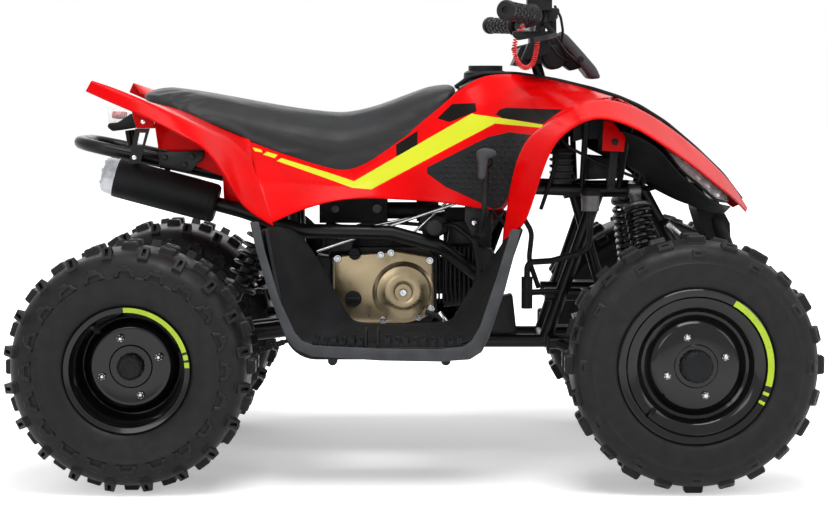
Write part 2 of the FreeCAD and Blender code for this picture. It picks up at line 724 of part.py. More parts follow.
# Drive chain: a band with outer links on it, round the pinion and clear of the turning sprocket
def chain():
    big = vector(rearX, sprocketY - chainBand / 2, rearTyreRadius)
    small = vector(pinionX, sprocketY - chainBand / 2, pinionZ)
    inner = sprocketRadius + chainGap
    span = vector(0, chainBand, 0)
    wide = Part.Face(beltWire(big, inner + chainHeight, small, pinionRadius + chainHeight)).extrude(span)
    hole = Part.Face(beltWire(big, inner, small, pinionRadius)).extrude(span)
    parts = [wide.cut(hole)]
    middle = beltWire(big, inner + chainHeight / 2, small, pinionRadius + chainHeight / 2)
    spots = middle.discretize(linkCount + 1)
    for before, after in zip(spots, spots[1:]):
        run = after - before
        length = run.Length * linkShare
        link = Part.makeBox(length, linkWidth, linkHeight, vector(-length, -linkWidth, -linkHeight) / 2)
        link.rotate(vector(0, 0, 0), sideAxis, -math.degrees(math.atan2(run.z, run.x)))
        link.translate((before + after) / 2 + span / 2)
        parts.append(link)
    hub = vector(pinionX, sprocketY, pinionZ)
    parts.append(cross(hub, sideAxis, pinionRadius + chainHeight / 2, chainBand / 2))
    parts.append(rod(vector(pinionX, engineHalfWidth + clearance, pinionZ), hub + span, pinionShaftRadius))
    nodes["drive_chain"] = fuse(parts)


# Swingarm with its axle carrier, and the shock that stands on it
def swingarm():
    axleCentre = vector(rearX, 0, rearTyreRadius)
    pivot = vector(armPivotX, 0, armPivotZ)
    parts = [cross(axleCentre, sideAxis, carrierRadius, carrierLength)]
    parts.append(cross(pivot, sideAxis, pivotTubeRadius, 2 * armSpread))
    for sign in (-1, 1):
        near = pivot + sideAxis * (sign * (armSpread - armInset))
        far = axleCentre + sideAxis * (sign * (armSpread - armInset))
        parts.append(rod(near, far, armTubeRadius))
    low = vector(rearShockLowX, 0, rearShockLowZ)
    along = (pivot - axleCentre).normalize()
    seat = axleCentre + along * ((low - axleCentre).dot(along))
    parts.append(cross(seat, sideAxis, armCrossRadius, 2 * armSpread - 2 * armInset))
    for sign in (-1, 1):
        lug = prism([(seat.x - eyeRadius, seat.z), (seat.x + eyeRadius, seat.z),
                     (low.x + eyeRadius, low.z), (low.x, low.z + eyeRadius), (low.x - eyeRadius, low.z)],
                    0, tabThickness)
        lug.translate(sideAxis * (sign * (eyeWidth / 2 + tabThickness / 2 + clearance) - tabThickness / 2))
        parts.append(lug)
    body = fuse(parts)
    body = body.cut(cross(axleCentre, sideAxis, axleRadius + runningGap, carrierLength + overrun))
    nodes["swingarm"] = body.cut(cross(pivot, sideAxis, pivotRadius, 2 * armSpread + overrun))


def shock(top, low, springRadius, startShare):
    axis = (top - low).normalize()
    span = (top - low).Length
    side = vector(1, 0, 0) if abs(axis.y) > abs(axis.x) else sideAxis
    parts = [cross(top, side, eyeRadius, eyeWidth), cross(low, side, eyeRadius, eyeWidth)]
    springLow = low + axis * (span * startShare)
    springTop = top - axis * (span * springEndShare)
    parts.append(rod(low + axis * (2 * eyeRadius), springTop, damperRadius))
    parts.append(rod(low, top, damperRodRadius))
    height = (springTop - springLow).Length
    for end, way in ((springLow, 1), (springTop, -1)):
        parts.append(rod(end, end + axis * (way * springWire), springRadius + springWire))
    pitch = height / springTurns
    for number in range(springTurns):
        centre = springLow + axis * (pitch * (number + 0.5))
        parts.append(Part.makeTorus(springRadius, springWire, centre, axis))
    parts.append(rod(springLow, springTop, springRadius))
    return fuse(parts)


def shocks():
    nodes["rear_shock"] = shock(
        vector(rearShockTopX, 0, rearShockTopZ), vector(rearShockLowX, 0, rearShockLowZ), rearSpringRadius,
        rearSpringStartShare)
    right = shock(
        vector(frontShockTopX, -frontShockTopY, frontShockTopZ),
        vector(frontShockLowX, -frontShockLowY, frontShockLowZ), frontSpringRadius, frontSpringStartShare)
    nodes["front_shocks"] = pair(right)


# Frame tubes
def frontLegs(sign):
    railLow = vector(railFrontX, sign * railY, railZ)
    nose = vector(upperRailFrontX, sign * railY, upperRailZ)
    noseTop = vector(noseTopX, sign * topRailY, topRailZ)
    legTop = vector(legTopX, sign * topRailY, topRailZ)
    seatFront = vector(seatRailFrontX, sign * seatRailY, seatRailFrontZ)
    seatMiddle = vector(rearLegX, sign * seatRailY, topRailZ)
    seatRear = vector(seatRailRearX, sign * seatRailY, seatRailRearZ)
    return [
        bentTube([seatMiddle, vector(railRearX, sign * railY, railZ), railLow, nose], tubeRadius, bendRadius),
        rod(vector(legLowX, sign * railY, railZ), legTop, tubeRadius),
        bentTube([vector(legLowX, sign * railY, upperRailZ), nose, noseTop], tubeRadius, bendRadius),
        bentTube([noseTop, legTop, seatFront, seatMiddle, seatRear], tubeRadius, bendRadius),
    ]


def stemAxis():
    return (vector(stemTopX, 0, stemTopZ) - vector(stemBottomX, 0, stemBottomZ)).normalize()


def stemPoint(height):
    bottom = vector(stemBottomX, 0, stemBottomZ)
    axis = stemAxis()
    return bottom + axis * ((height - stemBottomZ) / axis.z)


def masterBody():
    top = place(masterShare)
    return rod(top - upAxis * masterLength, top, masterRadius)


# A stay runs from a frame tube to the piece that it carries, and ends at its surface
def stay(start, end, radius, carried):
    arm = rod(start, end, radius)
    return nearest(arm.cut(carried), start)


def seatRailHeight(x):
    rise = (seatRailRearZ - topRailZ) / (rearLegX - seatRailRearX)
    return topRailZ + max(rearLegX - x, 0) * rise


def mounts():
    parts = []
    for x in (engineTubeRearX, engineTubeFrontX):
        parts.append(Part.makeBox(2 * tubeRadius, 2 * engineMountHalf, engineBottomZ - railZ,
                                  vector(x - tubeRadius, -engineMountHalf, railZ)))
    shockTop = vector(rearShockTopX, 0, rearShockTopZ)
    above = shockTop + upAxis * (eyeRadius + tubeRadius + clearance)
    parts.append(cross(above, sideAxis, tubeRadius, 2 * seatRailY))
    lamp = vector(seatRailRearX, tailLampHalfWidth / 2, seatRailRearZ)
    lampTop = vector(tailLampShares[3][0] * wheelbase, lamp.y, tailLampShares[0][1] * bodyHeight)
    for sign in (-1, 1):
        low = eyeWidth / 2 + clearance
        plate = Part.makeBox(2 * eyeRadius, tabThickness, eyeRadius + tubeRadius)
        plate.translate(vector(shockTop.x - eyeRadius, low if sign > 0 else -low - tabThickness, shockTop.z))
        parts.append(plate)
        for x in seatStayX:
            start = vector(x, sign * seatRailY, seatRailHeight(x))
            parts.append(stay(start, start + upAxis * seatStayReach, stayRadius, nodes["seat"]))
        for x in grabStayX:
            start = vector(x, sign * seatRailY, seatRailHeight(x))
            end = start + sideAxis * (sign * (grabY - seatRailY))
            parts.append(stay(start, end, stayRadius, nodes["grab_bar"]))
        for spot, aim, carried in stayShares:
            start = vector(place(spot).x, sign * place(spot).y, place(spot).z)
            end = vector(place(aim).x, sign * place(aim).y, place(aim).z)
            parts.append(stay(start, end, stayRadius, nodes[carried]))
        for x in footBarX:
            start = vector(x, sign * railY, footLowZ - footBarRadius - clearance)
            end = vector(x, sign * footBarY, start.z)
            parts.append(rod(start, end, footBarRadius))
        start = vector(lamp.x, sign * lamp.y, lamp.z)
        end = vector(lampTop.x, start.y, lampTop.z)
        parts.append(stay(start, end, stayRadius, nodes["tail_lamp"]))
    hanger = vector(hangerX, -seatRailY, seatRailHeight(hangerX))
    middle = mufflerEndZ - (hangerX - mufflerEndX) * math.tan(math.radians(mufflerSlope))
    parts.append(stay(hanger, vector(hangerX, mufflerY, middle), stayRadius, nodes["muffler"]))
    master = place(masterShare) - upAxis * (masterLength / 2)
    legShare = (master.z - railZ) / (topRailZ - railZ)
    leg = vector(legLowX + (legTopX - legLowX) * legShare, -railY - (topRailY - railY) * legShare, master.z)
    parts.append(stay(leg, master, stayRadius, masterBody()))
    return parts


def armPivots():
    out = railY + tubeRadius + armPivotGap
    return [(lowArmRearX, out, railZ), (lowArmFrontX, out, railZ),
            (highArmRearX, out, upperRailZ), (highArmFrontX, out, upperRailZ)]


def frame():
    tubes = frontLegs(-1) + frontLegs(1)
    for x, z, y in [(engineTubeRearX, railZ, railY), (engineTubeFrontX, railZ, railY),
                    (legLowX, railZ, railY), (railFrontX, railZ, railY),
                    (upperRailFrontX, upperRailZ, railY), (noseTopX, topRailZ, topRailY),
                    (rearLegX, topRailZ, seatRailY), (seatRailRearX, seatRailRearZ, seatRailY)]:
        tubes.append(cross(vector(x, 0, z), sideAxis, tubeRadius, 2 * y))
    for height, half in ((topRailZ, topRailY), (upperRailZ, railY)):
        bearing = stemPoint(height)
        tubes.append(cross(bearing, stemAxis(), stemBearingRadius, stemBearingLength))
        tubes.append(cross(bearing, sideAxis, bearingTubeRadius, 2 * half))
    pivot = vector(armPivotX, 0, armPivotZ)
    for sign in (-1, 1):
        inner = sign * (armSpread + clearance)
        outer = inner + sign * 2 * tabThickness
        tubes.append(prism([(pivot.x - pivotTubeRadius, pivot.z + pivotTubeRadius),
                            (railRearX, railZ - tubeRadius), (pivot.x + pivotTubeRadius, railZ - tubeRadius),
                            (pivot.x + pivotTubeRadius, pivot.z + pivotTubeRadius)],
                           min(inner, outer), max(inner, outer)))
        for x, y, z in armPivots():
            spot = vector(x, sign * y, z)
            for side in (-1, 1):
                near = spot + vector(side * (armEyeLength / 2 + clearance), 0, 0)
                reach = y - railY + pinRadius + armTabOverhang
                plate = Part.makeBox(tabThickness, reach, 2 * eyeRadius)
                plate.translate(vector(-tabThickness / 2, 0 if sign > 0 else -reach, -eyeRadius))
                plate.translate(vector(near.x + side * tabThickness / 2, sign * railY, z))
                tubes.append(plate)
            tubes.append(cross(spot, vector(1, 0, 0), pinRadius, armEyeLength + 2 * tabThickness))
    tubes.append(cross(pivot, sideAxis, pivotRadius - runningGap, 2 * armSpread + 2 * tabThickness))
    tubes += mounts()
    body = fuse(tubes)
    for height in (topRailZ, upperRailZ):
        body = body.cut(cross(stemPoint(height), stemAxis(), stemRadius + runningGap, 3 * stemBearingLength))
    nodes["frame"] = body


# The block and cheeks on a lower arm that hold the shock's lower eye
def shockBracket(sign, root, tip):
    low = vector(frontShockLowX, sign * frontShockLowY, frontShockLowZ)
    seat = root + (tip - root) * ((low.y - root.y) / (tip.y - root.y))
    half = eyeWidth / 2 + clearance
    corner = vector(low.x - half - tabThickness, low.y - eyeRadius, seat.z)
    rise = low.z - eyeRadius - clearance - seat.z
    parts = [Part.makeBox(2 * half + 2 * tabThickness, 2 * eyeRadius, rise, corner)]
    for x in (corner.x, low.x + half):
        parts.append(Part.makeBox(tabThickness, 2 * eyeRadius, low.z - seat.z, vector(x, corner.y, seat.z)))
    return parts


# Front suspension arms, knuckles and tie rods
def frontArms():
    arms = []
    for sign in (-1, 1):
        lowEye = vector(frontX, sign * kingpinY, frontTyreRadius - lowBallDrop - ballPlate)
        highEye = vector(frontX, sign * kingpinY, frontTyreRadius + highBallRise + ballPlate)
        pivots = [vector(x, sign * y, z) for x, y, z in armPivots()]
        for eye, dip, ends in ((lowEye, lowArmDip, pivots[:2]), (highEye, 0, pivots[2:])):
            parts = [cross(eye, upAxis, armEyeRadius, 2 * ballPlate - 2 * clearance)]
            for spot in ends:
                parts.append(cross(spot, vector(1, 0, 0), eyeRadius, armEyeLength))
                parts.append(rod(spot - vector(armLead, 0, 0), eye - upAxis * dip, armRadius))
            if dip:
                parts += shockBracket(sign, ends[1] - vector(armLead, 0, 0), eye - upAxis * dip)
            body = fuse(parts)
            body = body.cut(cross(eye, upAxis, ballPinRadius + runningGap, 6 * ballPlate))
            for spot in ends:
                body = body.cut(cross(spot, vector(1, 0, 0), pinRadius + runningGap, 2 * armEyeLength))
            arms.append(body)
    nodes["front_arms"] = Part.Compound(arms)


def knuckle(sign):
    king = vector(frontX, sign * kingpinY, frontTyreRadius)
    low = king - upAxis * lowBallDrop
    high = king + upAxis * highBallRise
    end = vector(frontX, sign * (frontWheelY + frontWebOut) - sign * spindleInset, frontTyreRadius)
    armEnd = vector(frontX - steeringArmLength, sign * (kingpinY - steeringArmInset), 0)
    armLow = tieRodZ + rodEndHeight / 2 + clearance
    armEnd.z = armLow
    parts = [rod(low, high, knuckleRadius), rod(king, end, spindleRadius)]
    parts.append(rod(low - upAxis * (2 * ballPlate), high + upAxis * (2 * ballPlate), ballPinRadius))
    parts.append(rod(armEnd, armEnd + upAxis * steeringArmThickness, rodEndRadius))
    span = (armEnd - vector(king.x, king.y, armLow))
    bar = Part.makeBox(span.Length, 2 * rodEndRadius, steeringArmThickness)
    bar.translate(vector(0, -rodEndRadius, 0))
    bar.rotate(vector(0, 0, 0), upAxis, math.degrees(math.atan2(span.y, span.x)))
    bar.translate(vector(king.x, king.y, armLow))
    parts.append(bar)
    parts.append(rod(armEnd - upAxis * rodEndHeight, armEnd, rodPinRadius))
    return fuse(parts)


def pitmanEnd(sign):
    axis = stemAxis()
    back = vector(-axis.z, 0, axis.x)
    return vector(stemBottomX, 0, stemBottomZ) + back * pitmanLength + sideAxis * (sign * pitmanSpread)


def tieRod(sign):
    outer = vector(frontX - steeringArmLength, sign * (kingpinY - steeringArmInset), tieRodZ)
    inner = pitmanEnd(sign)
    inner.z = tieRodZ - tieRodDrop
    parts = [rod(inner, outer, tieRodRadius)]
    parts.append(cross(outer, upAxis, rodEndRadius, rodEndHeight))
    parts.append(cross(inner, upAxis, rodEndRadius, rodEndHeight))
    return fuse(parts).cut(cross(outer, upAxis, rodPinRadius + runningGap, 2 * rodEndHeight))


def frontEnd():
    for name, sign in (("right", -1), ("left", 1)):
        nodes["knuckle_" + name] = knuckle(sign)
        nodes["tie_rod_" + name] = tieRod(sign)


# Steering stem, handlebar and what sits on it
def clampHeight():
    return stemTopZ + barClampRadius - clampOverlap


def barRoute():
    right = [vector(barEndX, -barEndY, barEndZ), vector(barBendX, -barBendY, barRiseZ),
             vector(barRiseX, -barRiseY, barRiseZ), vector(stemTopX, -barClampY, clampHeight())]
    left = [vector(point.x, -point.y, point.z) for point in reversed(right)]
    return right + left


def steering():
    axis = stemAxis()
    bottom = vector(stemBottomX, 0, stemBottomZ)
    top = vector(stemTopX, 0, stemTopZ)
    barClampZ = clampHeight()
    bar = bentTube(barRoute(), barRadius, bendRadius)
    parts = [rod(bottom - axis * pitmanThickness, top, stemRadius)]
    plate = Part.makeBox(pitmanLength + rodEndRadius + stemBearingRadius, 2 * pitmanSpread + 2 * rodEndRadius,
                         pitmanThickness)
    plate.translate(vector(-pitmanLength - rodEndRadius, -pitmanSpread - rodEndRadius, -pitmanThickness))
    plate.rotate(vector(0, 0, 0), sideAxis, -math.degrees(math.atan2(-axis.x, axis.z)))
    plate.translate(bottom)
    parts.append(plate)
    for sign in (-1, 1):
        spot = vector(stemTopX, sign * barClampY / 2, barClampZ)
        parts.append(cross(spot, sideAxis, barClampRadius, barClampWidth))
    parts.append(Part.makeBox(2 * barClampRadius, barClampY + barClampWidth, clampPlate,
                              vector(stemTopX - barClampRadius, -(barClampY + barClampWidth) / 2,
                                     stemTopZ - clampPlate)))
    nodes["handlebar"] = bar
    grips = []
    controls = []
    for sign in (-1, 1):
        end = vector(barEndX, sign * barEndY, barEndZ)
        inward = (vector(barBendX, sign * barBendY, barRiseZ) - end).normalize()
        bore = rod(end - inward * gripLength, end + inward * (2 * gripLength), barRadius)
        grip = rod(end - inward * gripCapLength, end + inward * gripLength, gripRadius)
        cap = rod(end - inward * gripCapLength, end + inward * gripCapLength, gripCapRadius)
        grips.append(fuse([grip, cap]).cut(rod(end, end + inward * (2 * gripLength), barRadius)))
        spot = end + inward * (gripLength + perchGap + perchLength / 2)
        perch = cross(spot, inward, perchRadius, perchLength)
        box = Part.makeBox(switchLength, switchWidth, switchHeight)
        box.translate(vector(spot.x - switchLength / 2, spot.y - switchWidth / 2, spot.z + barRadius))
        root = spot + vector(leverReach, 0, -leverDrop)
        tip = root - inward * leverLength - upAxis * (leverDrop / 2)
        neck = rod(spot, root, leverRadius)
        lever = bentTube([root, (root + tip) * 0.5 + vector(leverRadius, 0, 0), tip], leverRadius, bendRadius)
        controls.append(fuse([perch, box, neck, lever]).cut(bore).cut(bar))
    nodes["grips"] = Part.Compound(grips)
    nodes["levers"] = Part.Compound(controls)
    guard = prism(sideOutline(guardShares), -guardHalfWidth, guardHalfWidth)
    keep = [cross(vector(stemTopX, 0, barClampZ), sideAxis, barClampRadius + clearance, 4 * barClampY)]
    keep.append(rod(stemPoint(topRailZ), top + axis * (2 * clampPlate), stemRadius + clearance))
    keep.append(Part.makeBox(2 * barClampRadius + 2 * clearance, 4 * barClampY, clampPlate + 2 * clearance,
                             vector(stemTopX - barClampRadius - clearance, -2 * barClampY,
                                    stemTopZ - clampPlate - clearance)))
    keep.append(bentTube(barRoute(), barRadius + clearance, bendRadius))
    for tool in keep:
        guard = guard.cut(tool)
    spot = sideOutline(guardShares)[0]
    nodes["handlebar_cover"] = nearest(guard, vector(spot[0], 0, spot[1]))
    nodes["visor"] = prism(sideOutline(visorShares), -visorHalfWidth, visorHalfWidth)
    for sign in (-1, 1):
        spot = vector(stemTopX + barClampRadius, sign * barClampY / 2, stemTopZ - clampPlate / 2)
        reach = vector(visorShares[2][0] * wheelbase, sign * barClampY / 2, stemTopZ - clampPlate / 2)
        arm = cross((spot + reach) * 0.5, reach - spot, visorStayRadius, (reach - spot).Length)
        parts.append(nearest(arm.cut(nodes["visor"]), spot))
    nodes["steering_stem"] = fuse(parts).cut(bentTube(barRoute(), barRadius + runningGap, bendRadius))


def turnRadii(points):
    radii = []
    for before, corner, after in zip(points, points[1:], points[2:]):
        turn = math.pi - (before - corner).getAngle(after - corner)
        room = arcShare * min((before - corner).Length, (after - corner).Length)
        radii.append(round(room / math.tan(turn / 2), 1))
    return radii


# The curly tether hangs in a loop from its clip on the bar, and both its ends are held there
def tether():
    points = [vector(stemTopX, 0, stemTopZ) + vector(*point) for point in cordRoute]
    path = bentPath(points, cordBend)
    cord = bentTube(points, cordRadius, cordBend)
    print("tether radii", turnRadii(points), "length", round(path.Length, 1))
    section = math.pi * cordRadius ** 2
    print("tether volume", round(cord.Volume), "section x length", round(section * path.Length))
    nodes["tether"] = cord
    spot = vector(barRiseX, points[0].y, barRiseZ)
    parts = [cross(spot, sideAxis, perchRadius, perchLength)]
    for end in (points[0], points[-1]):
        parts.append(rod(spot, end, cordRadius * cordEndShare))
    body = fuse(parts).cut(bentTube(barRoute(), barRadius + runningGap, bendRadius))
    nodes["levers"] = Part.Compound(nodes["levers"].Solids + [body.cut(cord)])


# Engine, intake and exhaust
def engine():
    outline = [(engineRearX, engineBottomZ + coverStep), (engineRearX + coverThickness, engineBottomZ),
               (engineFrontX - coverThickness, engineBottomZ), (engineFrontX, engineBottomZ + coverThickness),
               (engineFrontX, engineTopZ - coverThickness), (engineFrontX - coverThickness, engineTopZ),
               (engineRearX + coverThickness, engineTopZ), (engineRearX, engineTopZ - coverThickness)]
    block = prism(outline, -engineHalfWidth, engineHalfWidth)
    nodes["engine"] = block
    cover = prism(outline, -engineHalfWidth - coverThickness, -engineHalfWidth)
    spot = vector(clutchX, -engineHalfWidth - coverThickness, clutchZ)
    cover = cover.fuse(cross(spot, sideAxis, clutchRadius, 2 * coverStep))
    cover = cover.cut(cross(spot - sideAxis * coverStep, sideAxis, clutchRingRadius, coverStep))
    cover = cover.fuse(cross(spot - sideAxis * (coverStep / 2), sideAxis, clutchHubRadius, coverStep))
    nodes["engine_cover"] = cover
    core = [rod(vector(engineFrontX, 0, cylinderZ), vector(engineFrontX + finPitch * finCount, 0, cylinderZ),
                cylinderRadius)]
    for number in range(finCount):
        plate = Part.makeBox(finThickness, finSize, finSize)
        x = engineFrontX + finPitch * (number + 0.5)
        plate.translate(vector(x, -finSize / 2, cylinderZ - finSize / 2))
        core.append(plate)
    headX = engineFrontX + finPitch * finCount
    core.append(Part.makeBox(headLength, headSize, headSize,
                             vector(headX, -headSize / 2, cylinderZ - headSize / 2)))
    nodes["cylinder"] = fuse(core)
    portX = headX + headLength / 2
    intake = [vector(airboxFrontX, 0, carburettorZ + bowlDepth),
              vector(carburettorX, 0, carburettorZ + bowlDepth),
              vector(portX, 0, carburettorZ), vector(portX, 0, cylinderZ + headSize / 2)]
    pipe = bentTube(intake, intakeRadius, bendRadius)
    bowl = rod(vector(carburettorX, 0, carburettorZ + bowlDepth),
               vector(carburettorX, 0, carburettorZ - carburettorRadius / 2), bowlRadius)
    bodyPart = cross(vector(carburettorX, 0, carburettorZ + bowlDepth), vector(1, 0, 0), carburettorRadius,
                     2 * carburettorRadius)
    nodes["carburettor"] = fuse([pipe, bowl, bodyPart])
    nodes["airbox"] = Part.makeBox(airboxFrontX - airboxRearX, 2 * airboxHalfWidth, airboxTopZ - airboxLowZ,
                                   vector(airboxRearX, -airboxHalfWidth, airboxLowZ))


def exhaust():
    slope = math.radians(mufflerSlope)
    end = vector(mufflerEndX, mufflerY, mufflerEndZ)
    along = vector(math.cos(slope), 0, -math.sin(slope))
    start = end + along * mufflerCapLength
    front = start + along * mufflerLength
    nodes["muffler_cap"] = rod(end, start, mufflerRadius).cut(rod(end, start, outletRadius))
    nodes["muffler"] = rod(start, front, mufflerRadius)
    points = [front + along * clearance] + [place(share) for share in pipeShares]
    portX = engineFrontX + finPitch * finCount + headLength / 2
    points.append(vector(portX, -headSize / 2 - pipeRadius * 3, cylinderZ))
    points.append(vector(portX, -headSize / 2, cylinderZ))
    nodes["exhaust_pipe"] = bentTube(points, pipeRadius, bendRadius)


# Footwells: a trough on each side with a grey strip round its outer edge
def trough(inset):
    corners = [vector(footBackX, 0, footTopZ), vector(footHeelX, 0, footLowZ), vector(footToeX, 0, footLowZ),
               vector(footFrontX, 0, footTopZ)]
    corners[0] = corners[0] + (corners[0] - corners[1])
    corners[3] = corners[3] + (corners[3] - corners[2])
    path = bentPath(corners, bendRadius)
    closing = Part.LineSegment(corners[3], corners[0]).toShape()
    face = Part.Face(Part.Wire(path.Edges + [closing]))
    return face.makeOffset2D(-inset) if inset else face


def band(width, low, high):
    span = vector(0, high - low, 0)
    outer = trough(0)
    inner = trough(width)
    outer.translate(vector(0, low, 0))
    inner.translate(vector(0, low - overrun, 0))
    ring = outer.extrude(span).cut(inner.extrude(vector(0, high - low + 2 * overrun, 0)))
    top = Part.makeBox(2 * wheelbase, 4 * halfWidth, bodyHeight, vector(-wheelbase, -2 * halfWidth, footTopZ))
    return ring.cut(top)


def slab(points):
    corners = [vector(-wheelbase, y, z) for y, z in points]
    return Part.Face(Part.makePolygon(corners + corners[:1])).extrude(vector(2 * wheelbase, 0, 0))


def footwells():
    knee = footLowZ + stripWidth * 2
    high = footTopZ + overrun
    low = footLowZ - overrun
    inside = slab([(-footOuterY, low), (-footOuterY, knee), (-footTopOuterY, high),
                   (-footTopInnerY, high), (-footInnerY, knee), (-footInnerY, low)])
    edge = slab([(-footOuterY - stripThickness, low), (-footOuterY - stripThickness, knee),
                 (-footTopOuterY - stripThickness, high), (-footTopOuterY, high), (-footOuterY, knee),
                 (-footOuterY, low)])
    reach = footOuterY + 2 * stripThickness
    tray = band(footThickness, -reach, 0).common(inside).cut(nodes["front_fenders"])
    strip = band(stripWidth, -reach, 0).common(edge)
    nodes["footwells"] = pair(tray)
    nodes["footwell_strips"] = pair(strip)


# Seat, covers and fenders
def seat():
    wires = []
    for x, half, low, top in seatShares:
        y = half * halfWidth
        zLow = low * bodyHeight
        zTop = top * bodyHeight
        left = vector(x * wheelbase, y, zLow)
        right = vector(x * wheelbase, -y, zLow)
        spots = [right]
        for across, up in seatCrownShares:
            spots.append(vector(x * wheelbase, across * y, zLow + up * (zTop - zLow)))
        spots.append(left)
        wires.append(Part.Wire([Part.LineSegment(left, right).toShape(), rail(spots)]))
    nodes["seat"] = Part.makeLoft(wires, True, False)


def covers():
    for name, table in (("side_covers", sideCoverShares), ("front_fenders", frontFenderShares)):
        nodes[name] = pair(panel(stationRails(table), panelThickness))
    for name, table in (("top_cover", topCoverShares), ("nose_cover", noseCoverShares)):
        rows = [list(row) + [(row[0][0], -row[0][1], row[0][2])] for row in table]
        nodes[name] = panel(stationRails(rows), panelThickness)
    knee = panel(stationRails(sideCoverShares), -kneeThickness)
    outline = prism(sideOutline(kneeOutlineShares), -halfWidth, 0)
    nodes["knee_panels"] = pair(knee.common(outline))
    wall = prism(sideOutline(wallShares), wallY, wallY + wallThickness)
    tab = prism(sideOutline(tabShares), tabY, tabY + tabWidth)
    nodes["rear_fenders"] = pair(fuse([panel(stationRails(rearFenderShares), panelThickness), wall, tab]))
    hole = rod(stemPoint(topRailZ), stemPoint(stemTopZ), stemRadius + stemHoleGap)
    nodes["top_cover"] = nodes["top_cover"].cut(hole)
    spot = place(fuelCapShare)
    cap = rod(spot, spot + upAxis * fuelCapHeight, fuelCapRadius)
    cap = cap.fuse(rod(spot - upAxis * fuelNeckDepth, spot, fuelNeckRadius)).cut(nodes["top_cover"])
    nodes["fuel_cap"] = nearest(cap, spot + upAxis * fuelCapHeight)


def lamps():
    right = panel(stationRails(headLampShares), lampDepth)
    nodes["head_lamps"] = pair(right)
    liner = panel(stationRails(linerShares), linerThickness).cut(right)
    for spot, aim, carried in stayShares:
        if carried in ("front_fenders", "head_lamps"):
            start, end = place(spot), place(aim)
            start.y, end.y = -start.y, -end.y
            liner = liner.cut(rod(start, end, stayRadius + clearance))
    nodes["inner_liners"] = pair(nearest(liner, place(linerShares[0][0])))
    nodes["tail_lamp"] = prism(sideOutline(tailLampShares), -tailLampHalfWidth, tailLampHalfWidth)


def bars():
    y = grabY
    points = [vector(grabFrontX, -y, grabFrontZ), vector(grabRearX, -y, grabRearZ),
              vector(grabRearX, y, grabRearZ), vector(grabFrontX, y, grabFrontZ)]
    peg = place(strapPegShare)
    strap = prism(sideOutline(strapShares), strapY, strapY + strapThickness)
    slot = prism(sideOutline(slotShares), strapY - overrun, strapY + overrun)
    holder = strap.cut(slot).fuse(rod(vector(peg.x, strapY, peg.z), peg, stayRadius))
    nodes["grab_bar"] = fuse([bentTube(points, grabRadius, bendRadius), holder, mirrorY(holder)])
    footX = railFrontX + tubeRadius + bumperRadius + clearance
    route = [vector(footX, -bumperY, railZ - bumperRadius), vector(footX, -bumperY, railZ + 3 * bumperRadius),
             vector(bumperNoseX, -bumperY, bumperMiddleZ), vector(bumperTopX, -bumperY, bumperTopZ)]
    back = [vector(point.x, -point.y, point.z) for point in reversed(route)]
    face = prism(sideOutline(bumperFaceShares), -bumperFaceHalf, bumperFaceHalf)
    brace = rod(place(bumperStayShares[0]), place(bumperStayShares[1]), bumperStayRadius)
    tube = bentTube(route + back, bumperRadius, bendRadius)
    nodes["front_bumper"] = fuse([tube, face, brace, mirrorY(brace)])


def controls():
    knob = place(knobShare)
    stick = bentTube([knob] + [place(share) for share in shifterShares], shifterRadius, bendRadius)
    lever = fuse([stick, Part.makeSphere(knobRadius, knob)]).cut(nodes["frame"])
    nodes["shifter"] = nearest(lever, knob)
    cup = place(reservoirShare)
    holder = cross(vector(cup.x, cup.y / 2 - tubeRadius, topRailZ), sideAxis, stayRadius, -cup.y)
    body = rod(cup, cup + upAxis * reservoirHeight, reservoirRadius).fuse(holder).cut(nodes["frame"])
    nodes["brake_reservoir"] = nearest(body, cup)
    points = [cup - upAxis * clearance]
    points += [place(share) for share in hoseShares]
    nodes["brake_hose"] = bentTube(points, hoseRadius, bendRadius).fuse(masterBody())


for step in (wheels, chain, swingarm, shocks, seat, covers, lamps, bars, exhaust, frame, frontArms, frontEnd,
             steering, tether, engine, footwells, controls):
    step()
    print(step.__name__)

os.makedirs("parts", exist_ok=True)
for name, shape in nodes.items():
    bad = "" if shape.isValid() else "  NOT VALID"
    print(name, len(shape.Solids), round(shape.Volume), bad)
    shape.exportStep("parts/" + name + ".step")
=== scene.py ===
import math

import bmesh
import bpy
from mathutils import Matrix, Vector
from mathutils.bvhtree import BVHTree


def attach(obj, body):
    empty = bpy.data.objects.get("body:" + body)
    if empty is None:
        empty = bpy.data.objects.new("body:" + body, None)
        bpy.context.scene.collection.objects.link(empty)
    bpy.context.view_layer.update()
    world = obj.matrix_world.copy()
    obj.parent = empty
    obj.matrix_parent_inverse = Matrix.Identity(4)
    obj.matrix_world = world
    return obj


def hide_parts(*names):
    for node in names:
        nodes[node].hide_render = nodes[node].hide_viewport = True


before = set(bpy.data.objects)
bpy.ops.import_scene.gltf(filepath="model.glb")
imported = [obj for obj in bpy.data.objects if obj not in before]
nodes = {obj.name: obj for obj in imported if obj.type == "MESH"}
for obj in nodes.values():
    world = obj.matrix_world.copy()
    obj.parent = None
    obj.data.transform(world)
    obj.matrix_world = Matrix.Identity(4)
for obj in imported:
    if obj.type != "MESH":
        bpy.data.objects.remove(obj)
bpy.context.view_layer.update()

scene = bpy.context.scene
mm = 0.001
thousandth = 0.001
fullTurn = 2 * math.pi
panelAngle = 40  # degrees above which an edge of a panel shows sharp
bevelAngle = 0.3  # radians above which an edge of a block or cap is bevelled

# Sizes that several pieces share, in millimetres. X points forwards, Y to the left, Z up
quad = {"wheelbase": 1025, "halfWidth": 350, "bodyHeight": 770, "rearX": -516, "frontX": 509,
        "rearRadius": 228, "frontRadius": 235, "rearY": 345, "frontY": 376}


def addObject(name, data):
    made = bpy.data.objects.new(name, data)
    scene.collection.objects.link(made)
    return made


